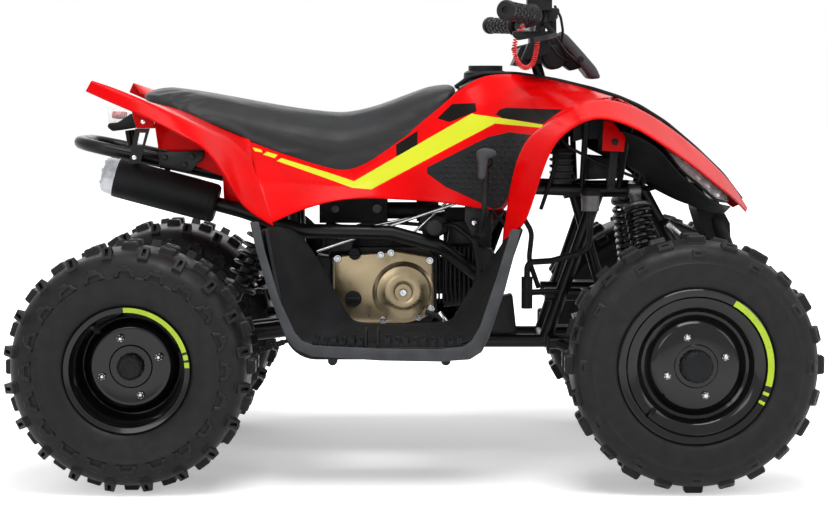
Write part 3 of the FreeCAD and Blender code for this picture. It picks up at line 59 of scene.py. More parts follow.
# Camera: long lens, level with the bars, looking slightly down at the right side
cameraLook = {"place": (1, -4105, 717), "tilt": 0.0785, "lens": 89.13, "sensor": 36.0}


def setCamera():
    data = bpy.data.cameras.new("camera")
    data.lens = cameraLook["lens"]
    data.sensor_width = cameraLook["sensor"]
    camera = addObject("camera", data)
    camera.location = [value * mm for value in cameraLook["place"]]
    camera.rotation_euler = (math.pi / 2 - cameraLook["tilt"], 0, 0)
    scene.camera = camera


setCamera()
print("camera set")


# Small tools for materials
def linear(hexColour):
    channels = [int(hexColour[k:k + 2], 16) / 255 for k in (0, 2, 4)]
    return [c / 12.92 if c <= 0.04045 else ((c + 0.055) / 1.055) ** 2.4 for c in channels] + [1.0]


def setSockets(tree, node, sockets):
    for name, value in sockets.items():
        if isinstance(value, bpy.types.NodeSocket):
            tree.links.new(value, node.inputs[name])
        else:
            node.inputs[name].default_value = value


# Adds a node with its links and returns one of its outputs. Mix has its colours at 6 and 7 and its result at 2,
# Map Range takes value, from low, from high, to low, to high
def addNode(tree, kind, sockets, output=0, **settings):
    made = tree.nodes.new("ShaderNode" + kind)
    for name, value in settings.items():
        setattr(made, name, value)
    setSockets(tree, made, sockets)
    return made.outputs[output]


materials = {}


def newMaterial(name):
    material = bpy.data.materials.new(name)
    material.use_nodes = True
    materials[name] = material
    tree = material.node_tree
    return tree, tree.nodes["Principled BSDF"], addNode(tree, "TexCoord", {}, "Object")


# One finish: two close tones in patches, uneven gloss, a fine grain, and lighter edges that are partly rubbed wear and
# partly a painted highlight
contrast = {"noise": (0.3, 0.7), "edge": (0.80, 0.99)}


def makeFinish(name, look, paint=None):
    tree, shader, place = newMaterial(name)
    low, high = contrast["noise"]
    patch, smear, grain = [addNode(tree, "TexNoise", {"Vector": place, "Scale": 1 / (look[key] * mm), "Detail": detail})
                           for key, detail in (("patch", 4), ("smear", 3), ("grain", 2))]
    share = addNode(tree, "MapRange", {0: patch, 1: low, 2: high, 3: 0, 4: 1})
    colour = addNode(tree, "Mix", {0: share, 6: linear(look["dark"]), 7: linear(look["light"])}, 2, data_type="RGBA")
    rough = addNode(tree, "MapRange", {0: smear, 1: low, 2: high, 3: look["rough"][0], 4: look["rough"][1]})
    rounded = addNode(tree, "Bevel", {"Radius": look["edge"] * mm}, samples=4)
    # lighter edges where the bevelled normal turns away from the face: partly rubbed wear, partly a painted highlight
    if look["wornAndLitEdge"]:
        flat = addNode(tree, "NewGeometry", {}, "Normal")
        same = addNode(tree, "VectorMath", {0: rounded, 1: flat}, "Value", operation="DOT_PRODUCT")
        low, high = contrast["edge"]
        wornAndLitShare = addNode(tree, "MapRange", {0: same, 1: low, 2: high, 3: look["wornAndLitShare"], 4: 0})
        colour = addNode(tree, "Mix", {0: wornAndLitShare, 6: colour, 7: linear(look["wornAndLitEdge"])}, 2, data_type="RGBA")
    if paint:
        colour, rough = paint(tree, place, colour, rough)
    bump = addNode(tree, "Bump", {"Height": grain, "Distance": look["depth"] * mm, "Strength": 1, "Normal": rounded})
    setSockets(tree, shader, {"Base Color": colour, "Roughness": rough, "Normal": bump, **look["shader"]})


# A mask that is 1 inside a convex outline drawn on the side view, in millimetres along X and Z
def insideOutline(tree, place, corners):
    middleX, middleZ = [sum(values) / len(corners) for values in zip(*corners)]
    inside = None
    for (x1, z1), (x2, z2) in zip(corners, corners[1:] + corners[:1]):
        across = Vector((z2 - z1, 0, x1 - x2)).normalized()
        if across.x * (middleX - x1) + across.z * (middleZ - z1) < 0:
            across = -across
        along = addNode(tree, "VectorMath", {0: place, 1: across}, "Value", operation="DOT_PRODUCT")
        side = addNode(tree, "Math", {0: along, 1: (across.x * x1 + across.z * z1) * mm}, operation="GREATER_THAN")
        inside = addNode(tree, "Math", {0: inside, 1: side}, operation="MULTIPLY") if inside else side
    return inside


# Vinyl graphics on the red covers: a lime band with two dashes behind it, and black blocks
graphics = {
    "limeOutlines": [
        [(-310, 621.4), (-293.8, 617.5), (-290.7, 612.1), (-305.3, 614.4)],
        [(-282.6, 613.3), (-262.3, 607.1), (-267.3, 601), (-289.4, 608.3)],
        [(-255, 601), (-114, 557), (-81, 542), (-117, 545), (-263, 596)],
        [(-114, 557), (113, 687), (156, 668), (-81, 542)],
        [(113, 687), (170, 678), (242, 668), (240, 661), (156, 668)]],
    "blackOutlines": [
        [(-34, 626), (8, 653), (8, 622), (-33, 600)], [(46, 677), (75, 705), (120, 707), (122, 691), (70, 670)],
        [(158, 685), (165, 694), (177, 698), (280, 695), (242, 668), (170, 678)]],
    "lime": "CDD430", "black": "15110F", "blackRough": 0.3,
}


def paintGraphics(tree, place, colour, rough):
    for tone in ("black", "lime"):
        for corners in graphics[tone + "Outlines"]:
            mask = insideOutline(tree, place, corners)
            colour = addNode(tree, "Mix", {0: mask, 6: colour, 7: linear(graphics[tone])}, 2, data_type="RGBA")
            if tone == "black":
                film = addNode(tree, "Math", {0: mask, 1: graphics["blackRough"]}, operation="MULTIPLY")
                rough = addNode(tree, "Math", {0: rough, 1: film}, operation="MAXIMUM")
    return colour, rough


# Moulded plastics, rubbers and metals of this quad. Patch, smear, grain, depth and edge are in millimetres; the edge
# tone is the lighter colour of edges, partly rubbed wear and partly a painted highlight, with its share saying how far
# it shows
lookColumns = ("dark", "light", "patch", "rough", "smear", "grain", "depth", "edge", "wornAndLitEdge", "wornAndLitShare", "shader")
looks = {
    # injection moulded ABS with a clear gloss: a deep wet red with a faint orange peel
    "glossRedAbs": ("D00306", "E2060A", 90, (0.2, 0.3), 70, 9, 0.02, 1.2, "F02A28", 0.4,
        {"Specular IOR Level": 0.05, "Coat Weight": 0.03, "Coat Roughness": 0.1}),
    # glass filled polypropylene: matt charcoal with a leathery mould grain, paler on corners from rubbing and from a
    # painted highlight
    "mattPolypropylene": ("131415", "1D1E20", 45, (0.45, 0.6), 30, 2.4, 0.09, 1, "4A4C4F", 0.5,
        {"Specular IOR Level": 0.14}),
    # grey polypropylene edge strips and the visor: scuffed by boots, so paler and uneven
    "greyPolypropylene": ("3A3B3D", "484A4D", 35, (0.42, 0.6), 25, 2.4, 0.08, 1, "707376", 0.6,
        {"Specular IOR Level": 0.15}),
    # powder coated steel tube: near black, half gloss, with the fine ripple of baked powder
    "powderCoatedSteel": ("0B0B0C", "131314", 60, (0.28, 0.42), 40, 3.5, 0.05, 1.2, "3A3B3C", 0.4,
        {"Specular IOR Level": 0.22}),
    # pressed steel rim in gloss black stove enamel: mirror dark with thin painted highlights on its edges
    "glossEnamelRim": ("080808", "0E0E0E", 80, (0.07, 0.16), 45, 12, 0.015, 1, "2A2B2C", 0.3,
        {"Specular IOR Level": 0.25, "Coat Weight": 0.12, "Coat Roughness": 0.05}),
    # natural rubber tyre: soft charcoal, dusty in patches, with fine mould marks
    "tyreRubber": ("121213", "1C1C1D", 22, (0.4, 0.56), 14, 2.2, 0.12, 0.8, "55555A", 0.7,
        {"Specular IOR Level": 0.2}),
    # hose and grip rubber: darker and smoother than the tyres
    "softRubber": ("141415", "1E1E1F", 25, (0.45, 0.62), 18, 1.8, 0.07, 0.7, "3C3C3E", 0.4,
        {"Specular IOR Level": 0.2}),
    # die cast cover in champagne lacquer: metallic grain with bright corners, partly machined metal and partly a
    # painted highlight
    "champagneCasting": ("897B60", "A09175", 40, (0.26, 0.4), 20, 1.6, 0.05, 1.2, "C9BFA8", 0.7, {"Metallic": 0.9}),
    # sand cast aluminium painted black: rough pores catch small glints
    "blackCasting": ("0E0E0F", "19191A", 30, (0.4, 0.6), 16, 1.8, 0.15, 1, "4A4B4D", 0.5,
        {"Specular IOR Level": 0.25}),
    # plain cast aluminium: pale grey with dull pores
    "bareCasting": ("6D6F70", "85878A", 25, (0.38, 0.55), 14, 1.6, 0.08, 0.8, "C4C6C8", 0.6, {"Metallic": 0.85}),
    # turned and brushed aluminium end cap: bright with soft streaks
    "brushedAluminium": ("94969A", "B0B2B5", 12, (0.22, 0.36), 6, 1.2, 0.03, 0.8, "F0F1F2", 0.5, {"Metallic": 1}),
    # zinc plated screws and nuts: small and bright
    "zincPlate": ("A8ABAE", "C9CCCE", 8, (0.16, 0.28), 6, 1.5, 0.02, 0.5, "F2F3F4", 0.5, {"Metallic": 1}),
    # oiled dark steel of axle, sprocket and chain
    "oiledSteel": ("1C1B1A", "302E2C", 20, (0.3, 0.5), 12, 1.6, 0.05, 0.8, "8D8B88", 0.6, {"Metallic": 0.8}),
    # coil spring in gloss black
    "springEnamel": ("080808", "101010", 30, (0.2, 0.32), 20, 3, 0.03, 0.5, "303132", 0.3,
        {"Specular IOR Level": 0.3}),
    # red polyurethane of the curly tether
    "redPolyurethane": ("D31A1C", "E82A2A", 8, (0.25, 0.4), 6, 2, 0.02, 0.4, "FF7A74", 0.4, {}),
    # milky polypropylene cup of the brake fluid
    "milkyCup": ("6B6C6A", "7E7F7C", 12, (0.35, 0.5), 8, 1.6, 0.03, 0.8, "A0A19E", 0.4, {"Transmission Weight": 0.2}),
    # vacuum metallised lamp reflector
    "lampReflector": ("C9CDD0", "E4E7E9", 10, (0.08, 0.18), 8, 4, 0.05, 0.5, "FFFFFF", 0.3, {"Metallic": 0.35}),
    # red moulded acrylic of the tail lamp
    "redAcrylic": ("A80A0C", "C81216", 10, (0.1, 0.2), 8, 3, 0.04, 0.6, "FF5A50", 0.4, {"Coat Weight": 0.5}),
    # graphics band of the rims: a lime arc and two dashes on the flange
    "limeVinyl": ("A9C813", "B8D81C", 30, (0.25, 0.35), 20, 3, 0.02, 0.4, None, 0, {}),
    # seat vinyl: a fine pebble under a soft sheen
    "seatVinyl": ("18191A", "1F2022", 70, (0.46, 0.58), 50, 2.6, 0.07, 0.6, "3E4043", 0.3,
        {"Specular IOR Level": 0.25, "Sheen Weight": 0.04, "Sheen Roughness": 0.5}),
}

for name, row in looks.items():
    makeFinish(name, dict(zip(lookColumns, row)))
makeFinish("printedRedAbs", dict(zip(lookColumns, looks["glossRedAbs"])), paintGraphics)


# Clear polycarbonate lamp lens with faint flutes
lensLook = {"tint": "F4F7F8", "alpha": 0.22, "flutes": 40, "depth": 0.1, "rough": (0.03, 0.08)}


def clearLens():
    tree, shader, place = newMaterial("clearPolycarbonate")
    flutes = addNode(tree, "TexWave", {"Vector": place, "Scale": lensLook["flutes"], "Distortion": 0.5}, "Fac")
    ends = (*contrast["noise"], *lensLook["rough"])
    rough = addNode(tree, "MapRange", {0: flutes, **dict(enumerate(ends, 1))})
    bump = addNode(tree, "Bump", {"Height": flutes, "Distance": lensLook["depth"] * mm, "Strength": 0.4})
    setSockets(tree, shader, {"Base Color": linear(lensLook["tint"]), "Alpha": lensLook["alpha"],
                              "Roughness": rough, "Normal": bump})


clearLens()
print("materials made")

# Slot in the model and materials of each kind of surface
surfaces = {"red": ("red_plastic", "glossRedAbs"), "printed": ("red_plastic", "printedRedAbs"),
            "dark": ("dark_plastic", "mattPolypropylene"), "grey": ("grey_plastic", "greyPolypropylene"),
            "scuffed": ("dark_plastic", "greyPolypropylene"), "casting": ("dark_plastic", "blackCasting"),
            "rubber": ("black_rubber", "softRubber"), "tyre": ("tyre_rubber", "tyreRubber"),
            "rim": ("dark_rim", "glossEnamelRim", "limeVinyl"), "zinc": ("steel_rod", "zincPlate"),
            "darkDamper": ("steel_rod", "blackCasting"), "paleDamper": ("steel_rod", "bareCasting"),
            "brushed": ("steel_rod", "brushedAluminium"), "spring": ("black_spring", "springEnamel"),
            "clear": ("lamp_lens", "clearPolycarbonate"), "mirror": ("lamp_lens", "lampReflector"),
            "redLamp": ("lamp_lens", "redAcrylic"), "cord": ("red_cord", "redPolyurethane"),
            "seat": ("seat_cover", "seatVinyl"), "bronze": ("bronze_cover", "champagneCasting"),
            "endCap": ("brushed_cap", "brushedAluminium"), "can": ("black_frame", "mattPolypropylene"),
            "bracket": ("black_frame", "powderCoatedSteel")}


# Small tools for meshes
def makePiece(name, bm, surface, replaced=(), sharp=32, body="chassis", mirrored=False, outward=True):
    if outward:
        bmesh.ops.recalc_face_normals(bm, faces=bm.faces)
    if mirrored:
        bothSides(bm)
    mesh = bpy.data.meshes.new(name)
    bm.to_mesh(mesh)
    bm.free()
    piece = addObject(name, mesh)
    slot, *labels = surfaces[surface]
    for label in labels:
        mesh.materials.append(materials[label])
    shadeByAngle(mesh, sharp)
    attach(piece, body)
    if replaced:
        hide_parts(*replaced)
    return piece


# Makes pieces from lists of simple shapes: each shape is a function and its measures in millimetres
def makeParts(parts):
    for name, look in parts.items():
        bm = bmesh.new()
        for shape, *measures in look["shapes"]:
            shape(bm, *measures)
        makePiece(name, bm, **{key: value for key, value in look.items() if key != "shapes"})


def shadeByAngle(mesh, sharp):
    mesh.polygons.foreach_set("use_smooth", [True] * len(mesh.polygons))
    mesh.set_sharp_from_angle(angle=math.radians(sharp))


def meshOf(piece):
    return bpy.data.meshes.new_from_object(piece.evaluated_get(bpy.context.evaluated_depsgraph_get()))


def applied(piece):
    mesh = meshOf(piece)
    piece.modifiers.clear()
    piece.data = mesh
    return mesh


# Rounds a sheet, gives it a wall and softens its edges
def thicken(piece, levels=0, wall=0.0, edge=0.0, offset=-1, corners="PRESERVE_CORNERS"):
    if levels:
        soft = piece.modifiers.new("soft", "SUBSURF")
        soft.levels = soft.render_levels = levels
        soft.boundary_smooth = corners
    if wall:
        shell = piece.modifiers.new("wall", "SOLIDIFY")
        shell.thickness = wall * mm
        shell.offset = offset
    if edge:
        rounding = piece.modifiers.new("edge", "BEVEL")
        rounding.width = edge * mm
        rounding.segments = 2
        rounding.limit_method = "ANGLE"
        rounding.angle_limit = math.radians(50)
    return applied(piece)


def bothSides(bm):
    made = bmesh.ops.duplicate(bm, geom=bm.verts[:] + bm.edges[:] + bm.faces[:])["geom"]
    bmesh.ops.scale(bm, vec=(1, -1, 1), verts=[part for part in made if isinstance(part, bmesh.types.BMVert)])
    bmesh.ops.reverse_faces(bm, faces=[part for part in made if isinstance(part, bmesh.types.BMFace)])


def mirrorMesh(mesh, sharp):
    bm = bmesh.new()
    bm.from_mesh(mesh)
    bothSides(bm)
    bm.to_mesh(mesh)
    bm.free()
    shadeByAngle(mesh, sharp)


def newVerts(bm, known):
    return [vert for vert in bm.verts if vert not in known]


def bevelled(bm, edges, width, segments=2):
    bmesh.ops.bevel(bm, geom=edges, offset=width, segments=segments, profile=0.5, affect="EDGES", material=-1)


# Pushes a flat outline out along a vector and returns the moved corners
def pushed(bm, corners, move):
    base = bm.faces.new([bm.verts.new(corner) for corner in corners])
    raised = bmesh.ops.extrude_face_region(bm, geom=[base])["geom"]
    moved = [part for part in raised if isinstance(part, bmesh.types.BMVert)]
    bmesh.ops.translate(bm, vec=move, verts=moved)
    return moved


# Turns a profile of (across, out) round an axle along Y; sign -1 faces the right side
def turned(bm, profile, centre=(0, 0, 0), sign=1, steps=48, closed=False):
    known = set(bm.verts)
    x, y, z = centre
    spots = [bm.verts.new((x * mm, (y + sign * across) * mm, (z + out) * mm)) for across, out in profile]
    lines = [bm.edges.new(ends) for ends in zip(spots, spots[1:])]
    if closed:
        lines.append(bm.edges.new((spots[-1], spots[0])))
    bmesh.ops.spin(bm, geom=spots + lines, cent=(x * mm, y * mm, z * mm), axis=(0, 1, 0), angle=fullTurn, steps=steps,
                   use_merge=True)
    bmesh.ops.remove_doubles(bm, verts=newVerts(bm, known), dist=0.01 * mm)


def placed(bm, template, matrix):
    shape = template.copy()
    shape.transform(matrix)
    bm.from_mesh(shape)
    bpy.data.meshes.remove(shape)


def asMesh(bm):
    bmesh.ops.recalc_face_normals(bm, faces=bm.faces)
    mesh = bpy.data.meshes.new("shape")
    bm.to_mesh(mesh)
    bm.free()
    return mesh


# Axes of a spot on a wheel: angle round the axle from the front, tilt of its face towards the side
def wheelSpot(centre, sign, angle, across, out, tilt):
    turn = math.radians(angle)
    lean = math.radians(tilt)
    radial = Vector((math.cos(turn), 0, math.sin(turn)))
    around = Vector((-math.sin(turn), 0, math.cos(turn)))
    axial = Vector((0, sign, 0))
    face = radial * math.cos(lean) + axial * math.sin(lean)
    side = axial * math.cos(lean) - radial * math.sin(lean)
    place = (Vector(centre) + radial * out + axial * across) * mm
    return Matrix.Translation(place) @ Matrix((around, side, face)).transposed().to_4x4()


def roundRod(bm, start, end, radius, sides=20, cap=0.0):
    start, end = Vector(start) * mm, Vector(end) * mm
    run = end - start
    turn = run.to_track_quat("Z", "Y").to_matrix().to_4x4()
    known = set(bm.verts)
    bmesh.ops.create_cone(bm, cap_ends=True, segments=sides, radius1=radius * mm, radius2=radius * mm,
                          depth=run.length, matrix=Matrix.Translation((start + end) / 2) @ turn)
    if cap:
        verts = set(newVerts(bm, known))
        bevelled(bm, [edge for edge in bm.edges if edge.verts[0] in verts and edge.verts[1] in verts
                      and any(len(face.verts) > 4 for face in edge.link_faces)], cap * mm)


# A rod across the quad, along Y
def pin(bm, x, z, low, high, radius, sides=24, cap=2):
    roundRod(bm, (x, low, z), (x, high, z), radius, sides, cap)


def block(bm, low, high, edge):
    low, high = Vector(low) * mm, Vector(high) * mm
    made = bmesh.ops.create_cube(bm, size=1)["verts"]
    bmesh.ops.scale(bm, vec=high - low, verts=made)
    bmesh.ops.translate(bm, vec=(low + high) / 2, verts=made)
    bevelled(bm, list({line for vert in made for line in vert.link_edges}), edge * mm)


# A bevelled block cut from an outline on the side view
def sidePrism(bm, outline, low, high, edge):
    known = set(bm.verts)
    pushed(bm, [(x * mm, low * mm, z * mm) for x, z in outline], (0, (high - low) * mm, 0))
    added = set(newVerts(bm, known))
    bmesh.ops.recalc_face_normals(bm, faces=[face for face in bm.faces if face.verts[0] in added])
    bevelled(bm, [line for line in bm.edges if line.verts[0] in added and line.verts[1] in added
                  and line.calc_face_angle(0) > bevelAngle], edge * mm)


def curveMesh(points, resolution, radius=0.0, sides=0):
    curve = bpy.data.curves.new("route", "CURVE")
    curve.dimensions = "3D"
    curve.bevel_depth = radius
    curve.bevel_resolution = sides
    curve.use_fill_caps = True
    line = curve.splines.new("NURBS")
    line.points.add(len(points) - 1)
    for spot, point in zip(line.points, points):
        spot.co = (*point, 1)
    line.order_u = 3
    line.use_endpoint_u = True
    line.resolution_u = resolution
    holder = addObject("route", curve)
    mesh = meshOf(holder)
    bpy.data.objects.remove(holder)
    return mesh


# A tube along points with soft bends: each corner has a point at bend before and after it
def tubeInto(bm, points, radius, bend, sides=6):
    points = [Vector([value * mm for value in point]) for point in points]
    route = [points[0]]
    for before, corner, after in zip(points, points[1:], points[2:]):
        reach = [other - corner for other in (before, after)]
        reach = [way.normalized() * min(bend * mm, way.length * 0.45) for way in reach]
        route += [corner + reach[0], corner, corner + reach[1]]
    bm.from_mesh(curveMesh(route + [points[-1]], 4, radius * mm, sides))


# Tether: the route of the curly red cord, one open loop from its clip and back to it
tetherLook = {
    "route": [
        (212, -160, 856), (196, -162, 835), (192, -160, 806), (199, -157, 784), (213, -154, 772), (229, -151, 779),
        (235, -150, 801), (238, -153, 824), (240, -156, 845)],
    "radius": 5.5, "wire": 1.3, "turns": 42, "length": 179,
}


def makeTether():
    guide = curveMesh([[value * mm for value in point] for point in tetherLook["route"]], 40)
    spots = [vert.co.copy() for vert in guide.vertices]
    radius, wire = tetherLook["radius"] * mm, tetherLook["wire"] * mm
    coil = []
    side = Vector((0, 1, 0))
    last = len(spots) - 1
    for k, spot in enumerate(spots):
        along = (spots[min(k + 1, last)] - spots[max(k - 1, 0)]).normalized()
        side = (side - along * side.dot(along)).normalized()
        up = along.cross(side)
        angle = fullTurn * tetherLook["turns"] * k / last
        coil.append(spot + (side * math.cos(angle) + up * math.sin(angle)) * (radius - wire))
    bm = bmesh.new()
    bm.from_mesh(curveMesh(coil, 3, wire, 2))
    piece = makePiece("tether_coil", bm, "cord", ["tether"], body="steering", outward=False)


makeTether()
print("tether made")


# Tyres: a turned carcass with moulded lugs, each lug with a slot in its top. Shares of the lug's width and height
lugLook = {"top": 0.86, "edge": 0.07, "groove": 0.04, "depth": 0.3}


def lugShape(width, length, height, slot):
    width, length, height, slot = width * mm, length * mm, height * mm, slot * mm
    bm = bmesh.new()
    bmesh.ops.create_cube(bm, size=1)
    bmesh.ops.scale(bm, vec=(width, length, height), verts=bm.verts)
    bmesh.ops.translate(bm, vec=(0, 0, -height / 2), verts=bm.verts)
    top = max(bm.faces, key=lambda face: face.calc_center_median().z)
    bmesh.ops.scale(bm, vec=(lugLook["top"], lugLook["top"], 1), verts=top.verts)
    bevelled(bm, [edge for edge in bm.edges if edge.calc_length() < height * 1.3 or edge in top.edges],
             width * lugLook["edge"], 1)
    top = max(bm.faces, key=lambda face: (round(face.calc_center_median().z, 6), face.calc_area()))
    bmesh.ops.inset_individual(bm, faces=[top], thickness=slot)
    bmesh.ops.inset_individual(bm, faces=[top], thickness=width * lugLook["groove"],
                                depth=-height * lugLook["depth"])
    return asMesh(bm)


# A low side lug: a bar with two legs, cut from a flat outline and raised
sideLug = [
    (-0.5, -0.5), (-0.3, -0.5), (-0.22, -0.05), (0.22, -0.05), (0.3, -0.5), (0.5, -0.5), (0.34, 0.18), (0.2, 0.22),
    (0.14, 0.5), (-0.14, 0.5), (-0.2, 0.22), (-0.34, 0.18)]


def sideLugShape(width, height, rise):
    bm = bmesh.new()
    upper = pushed(bm, [(x * width * mm, y * height * mm, -rise * mm) for x, y in sideLug], (0, 0, 2 * rise * mm))
    bevelled(bm, [edge for edge in bm.edges if all(vert in upper for vert in edge.verts)], rise * 0.3 * mm, 1)
    return asMesh(bm)


# Lugs: width, length, height, slot edge, then count, first angle, across, out, tilt. Side lugs have no slot
rearTyre = {
    "profile": [
        (95, 101.6), (98, 114), (102, 117), (108, 124), (114, 138), (117.6, 154), (118.2, 164), (119.4, 166),
        (119.4, 168.5), (117.8, 170.5), (116.5, 180), (113, 191), (106, 202), (95, 209.5), (80, 213), (50, 215.5),
        (0, 216.5)],
    "lugs": [(30, 36, 26, 9, 20, 0, 35, 227.7, 0), (21, 36, 26, 6, 20, 9, 101, 215.5, 40)],
    "sideLugs": [(38, 21, 5, 20, 0, 117.4, 180, 76)],
}
frontTyre = {
    "profile": [
        (70, 127), (72, 139.5), (76, 142.5), (81, 151), (85.5, 166), (86.6, 184), (87.8, 186), (87.8, 188),
        (86.2, 190), (84, 200), (79, 210), (70, 217.5), (55, 221.5), (30, 223.5), (0, 224)],
    "lugs": [
        (38, 30, 26, 9.5, 12, 0, 36, 234.7, 0), (34, 24, 24, 8, 12, 15, 66, 226, 30),
        (28, 17, 16, 6, 12, 0, 84.5, 205.5, 66)],
    "sideLugs": [],
}


def ringOf(bm, shape, centre, turn, count, first, across, out, tilt):
    for sign in (-1, 1):
        for number in range(count):
            spot = wheelSpot(centre, sign, first + 360 * number / count, across, out, tilt)
            placed(bm, shape, spot @ Matrix.Rotation(turn, 4, "Z"))


def makeTyre(name, look, centre, replaced, body):
    bm = bmesh.new()
    outer = look["profile"]
    ring = outer + [(-across, out) for across, out in reversed(outer[:-1])]
    inner = [(across * 0.92, out - 7) for across, out in reversed(ring) if out > ring[0][1] + 20]
    turned(bm, ring + inner, centre, 1, 120, True)
    for width, length, height, slot, *spots in look["lugs"]:
        ringOf(bm, lugShape(width, length, height, slot), centre, 0, *spots)
    for width, height, rise, *spots in look["sideLugs"]:
        ringOf(bm, sideLugShape(width, height, rise), centre, math.pi, *spots)
    makePiece(name, bm, "tyre", replaced, 30, body)


# Rims: a stepped barrel and a dished web with a raised boss; the lime arc is part of the flange.
# Bolts: ring, face. Stem: angle, out, across. Cap: face, radius, length
rearRim = {
    "barrel": [
        (103, 115.3), (104.5, 113.5), (104, 112), (102.5, 104.6), (100, 103), (94, 101.5), (88, 97), (60, 95.5),
        (40, 93), (28, 90), (27, 88)],
    "back": [(27, 88), (20, 95), (-88, 97), (-94, 101.5), (-100, 103), (-104, 112), (-103, 115.3)],
    "web": [
        (27, 88.5), (30, 84), (37, 80), (42.5, 74), (44, 71), (43, 66), (43, 40), (45.5, 37.5), (45.5, 24), (40, 20),
        (40, 14.2)],
    "arcs": [(17.5, 92.5), (10, 15), (2.5, 7.5)], "bolts": (55, 45), "boltAngles": (19, 109, 199, 289),
    "stem": (128, 89, 88), "cap": (43, 25.5, 24), "limeBand": (103.8, 112.8), "wall": 2.5,
}
frontRim = {
    "barrel": [
        (78, 140.7), (79.5, 138.5), (79, 137), (77.5, 127.5), (75.5, 126), (72, 124), (70, 117), (69, 113), (67, 108),
        (64, 104), (56, 99), (52, 97)],
    "back": [(52, 97), (40, 117), (-68, 120), (-72, 124), (-77.5, 127.5), (-79, 137), (-78, 140.7)],
    "web": [(52, 97.5), (50, 92), (54, 84), (62, 78), (64, 72), (64, 40), (66, 38), (66, 30), (60, 26), (60, 13)],
    "arcs": [(-15, 60), (-23.5, -20), (-30, -26.5)], "bolts": (55, 64), "boltAngles": (18, 108, 198, 288),
    "stem": (226, 112, 70), "cap": (64, 31, 24), "limeBand": (129.2, 138.2), "wall": 2.5,
}


def makeRim(name, look, centre, sign, replaced, body):
    bm = bmesh.new()
    for part in ("barrel", "back", "web"):
        turned(bm, look[part], centre, sign, 144)
    bmesh.ops.remove_doubles(bm, verts=bm.verts, dist=0.6 * mm)
    bmesh.ops.recalc_face_normals(bm, faces=bm.faces)
    for face in bm.faces:
        spot = face.calc_center_median() / mm - Vector(centre)
        out = math.hypot(spot.x, spot.z)
        angle = math.degrees(math.atan2(spot.z, spot.x * -sign))
        flange = look["limeBand"][0] < out < look["limeBand"][1] and spot.y * sign > 0
        if flange and any(low < angle < high for low, high in look["arcs"]):
            face.material_index = 1
    piece = makePiece(name, bm, "rim", replaced, 40, body, outward=False)
    shadeByAngle(thicken(piece, wall=look["wall"]), 40)


# Hub cap with eight flats, wheel nuts and the valve stem. Steps and flats are shares of the cap's length and radius
hubLook = {"steps": [(0, 1), (0.7, 0.96), (0.88, 0.88), (0.97, 0.72), (0.97, 0.5), (0.92, 0.46), (0.92, 0)],
           "flats": 8, "flat": (0.3, 0.8, 0.2), "flatPlace": (0.4, 0.84), "edge": 0.9,
           "nut": (7, 6.4, 8), "dome": 5.6, "stem": [(-6, 4, 5.0), (4, 12, 3.2), (12, 19, 3.8)]}


def makeHub(name, look, centre, sign, replaced, body):
    face, radius, length = look["cap"]
    bm = bmesh.new()
    flats, (along, out) = hubLook["flats"], hubLook["flatPlace"]
    turned(bm, [(face + share * length, radius * width) for share, width in hubLook["steps"]], centre, sign, flats)
    size = Vector([share * whole * mm for share, whole in zip(hubLook["flat"], (radius, length, radius))])
    for number in range(flats):
        place = wheelSpot(centre, sign, 360 * (number + 0.5) / flats, face + length * along, radius * out, 0)
        verts = bmesh.ops.create_cube(bm, size=1, matrix=place)["verts"]
        bmesh.ops.scale(bm, vec=size, verts=verts, space=place.inverted())
    bevelled(bm, [edge for edge in bm.edges if edge.calc_face_angle(0) > bevelAngle], hubLook["edge"] * mm)
    makePiece(name, bm, "dark", replaced, 25, body)
    nuts = bmesh.new()
    ring, boltFace = look["bolts"]
    wide, narrow, tall = [value * mm for value in hubLook["nut"]]
    for angle in look["boltAngles"]:
        place = wheelSpot(centre, sign, angle if sign < 0 else 180 - angle, boltFace, ring, 90)
        bmesh.ops.create_cone(nuts, cap_ends=True, segments=6, radius1=wide, radius2=narrow, depth=tall,
                              matrix=place @ Matrix.Translation((0, 0, tall / 2)))
        bmesh.ops.create_uvsphere(nuts, u_segments=16, v_segments=10, radius=hubLook["dome"] * mm,
                                  matrix=place @ Matrix.Translation((0, 0, wide)))
    makePiece(name + "_nuts", nuts, "zinc", sharp=30, body=body)
    stem = bmesh.new()
    angle, out, across = look["stem"]
    place = wheelSpot(centre, sign, angle if sign < 0 else 180 - angle, across, out, 60)
    for *ends, radius in hubLook["stem"]:
        roundRod(stem, *[place @ Vector((0, 0, end * mm)) / mm for end in ends], radius, 12)
    makePiece(name + "_valve", stem, "rubber", body=body)


def makeWheels():
    for side, sign in (("right", -1), ("left", 1)):
        front = (quad["frontX"], sign * quad["frontY"], quad["frontRadius"])
        rear = (quad["rearX"], sign * quad["rearY"], quad["rearRadius"])
        frontBody = "front_wheel_" + side
        makeTyre("front_tyre_lugged_" + side, frontTyre, front, ["front_tyre_" + side], frontBody)
        makeTyre("rear_tyre_lugged_" + side, rearTyre, rear, ["rear_tyres"], "rear_wheels")
        makeRim("front_rim_turned_" + side, frontRim, front, sign, ["front_rim_" + side], frontBody)
        makeRim("rear_rim_turned_" + side, rearRim, rear, sign, ["rear_rims"], "rear_wheels")
        makeHub("front_cap_" + side, frontRim, front, sign, ["front_hub_cap_" + side], frontBody)
        makeHub("rear_cap_" + side, rearRim, rear, sign, ["rear_hub_caps"], "rear_wheels")


makeWheels()
print("wheels made")


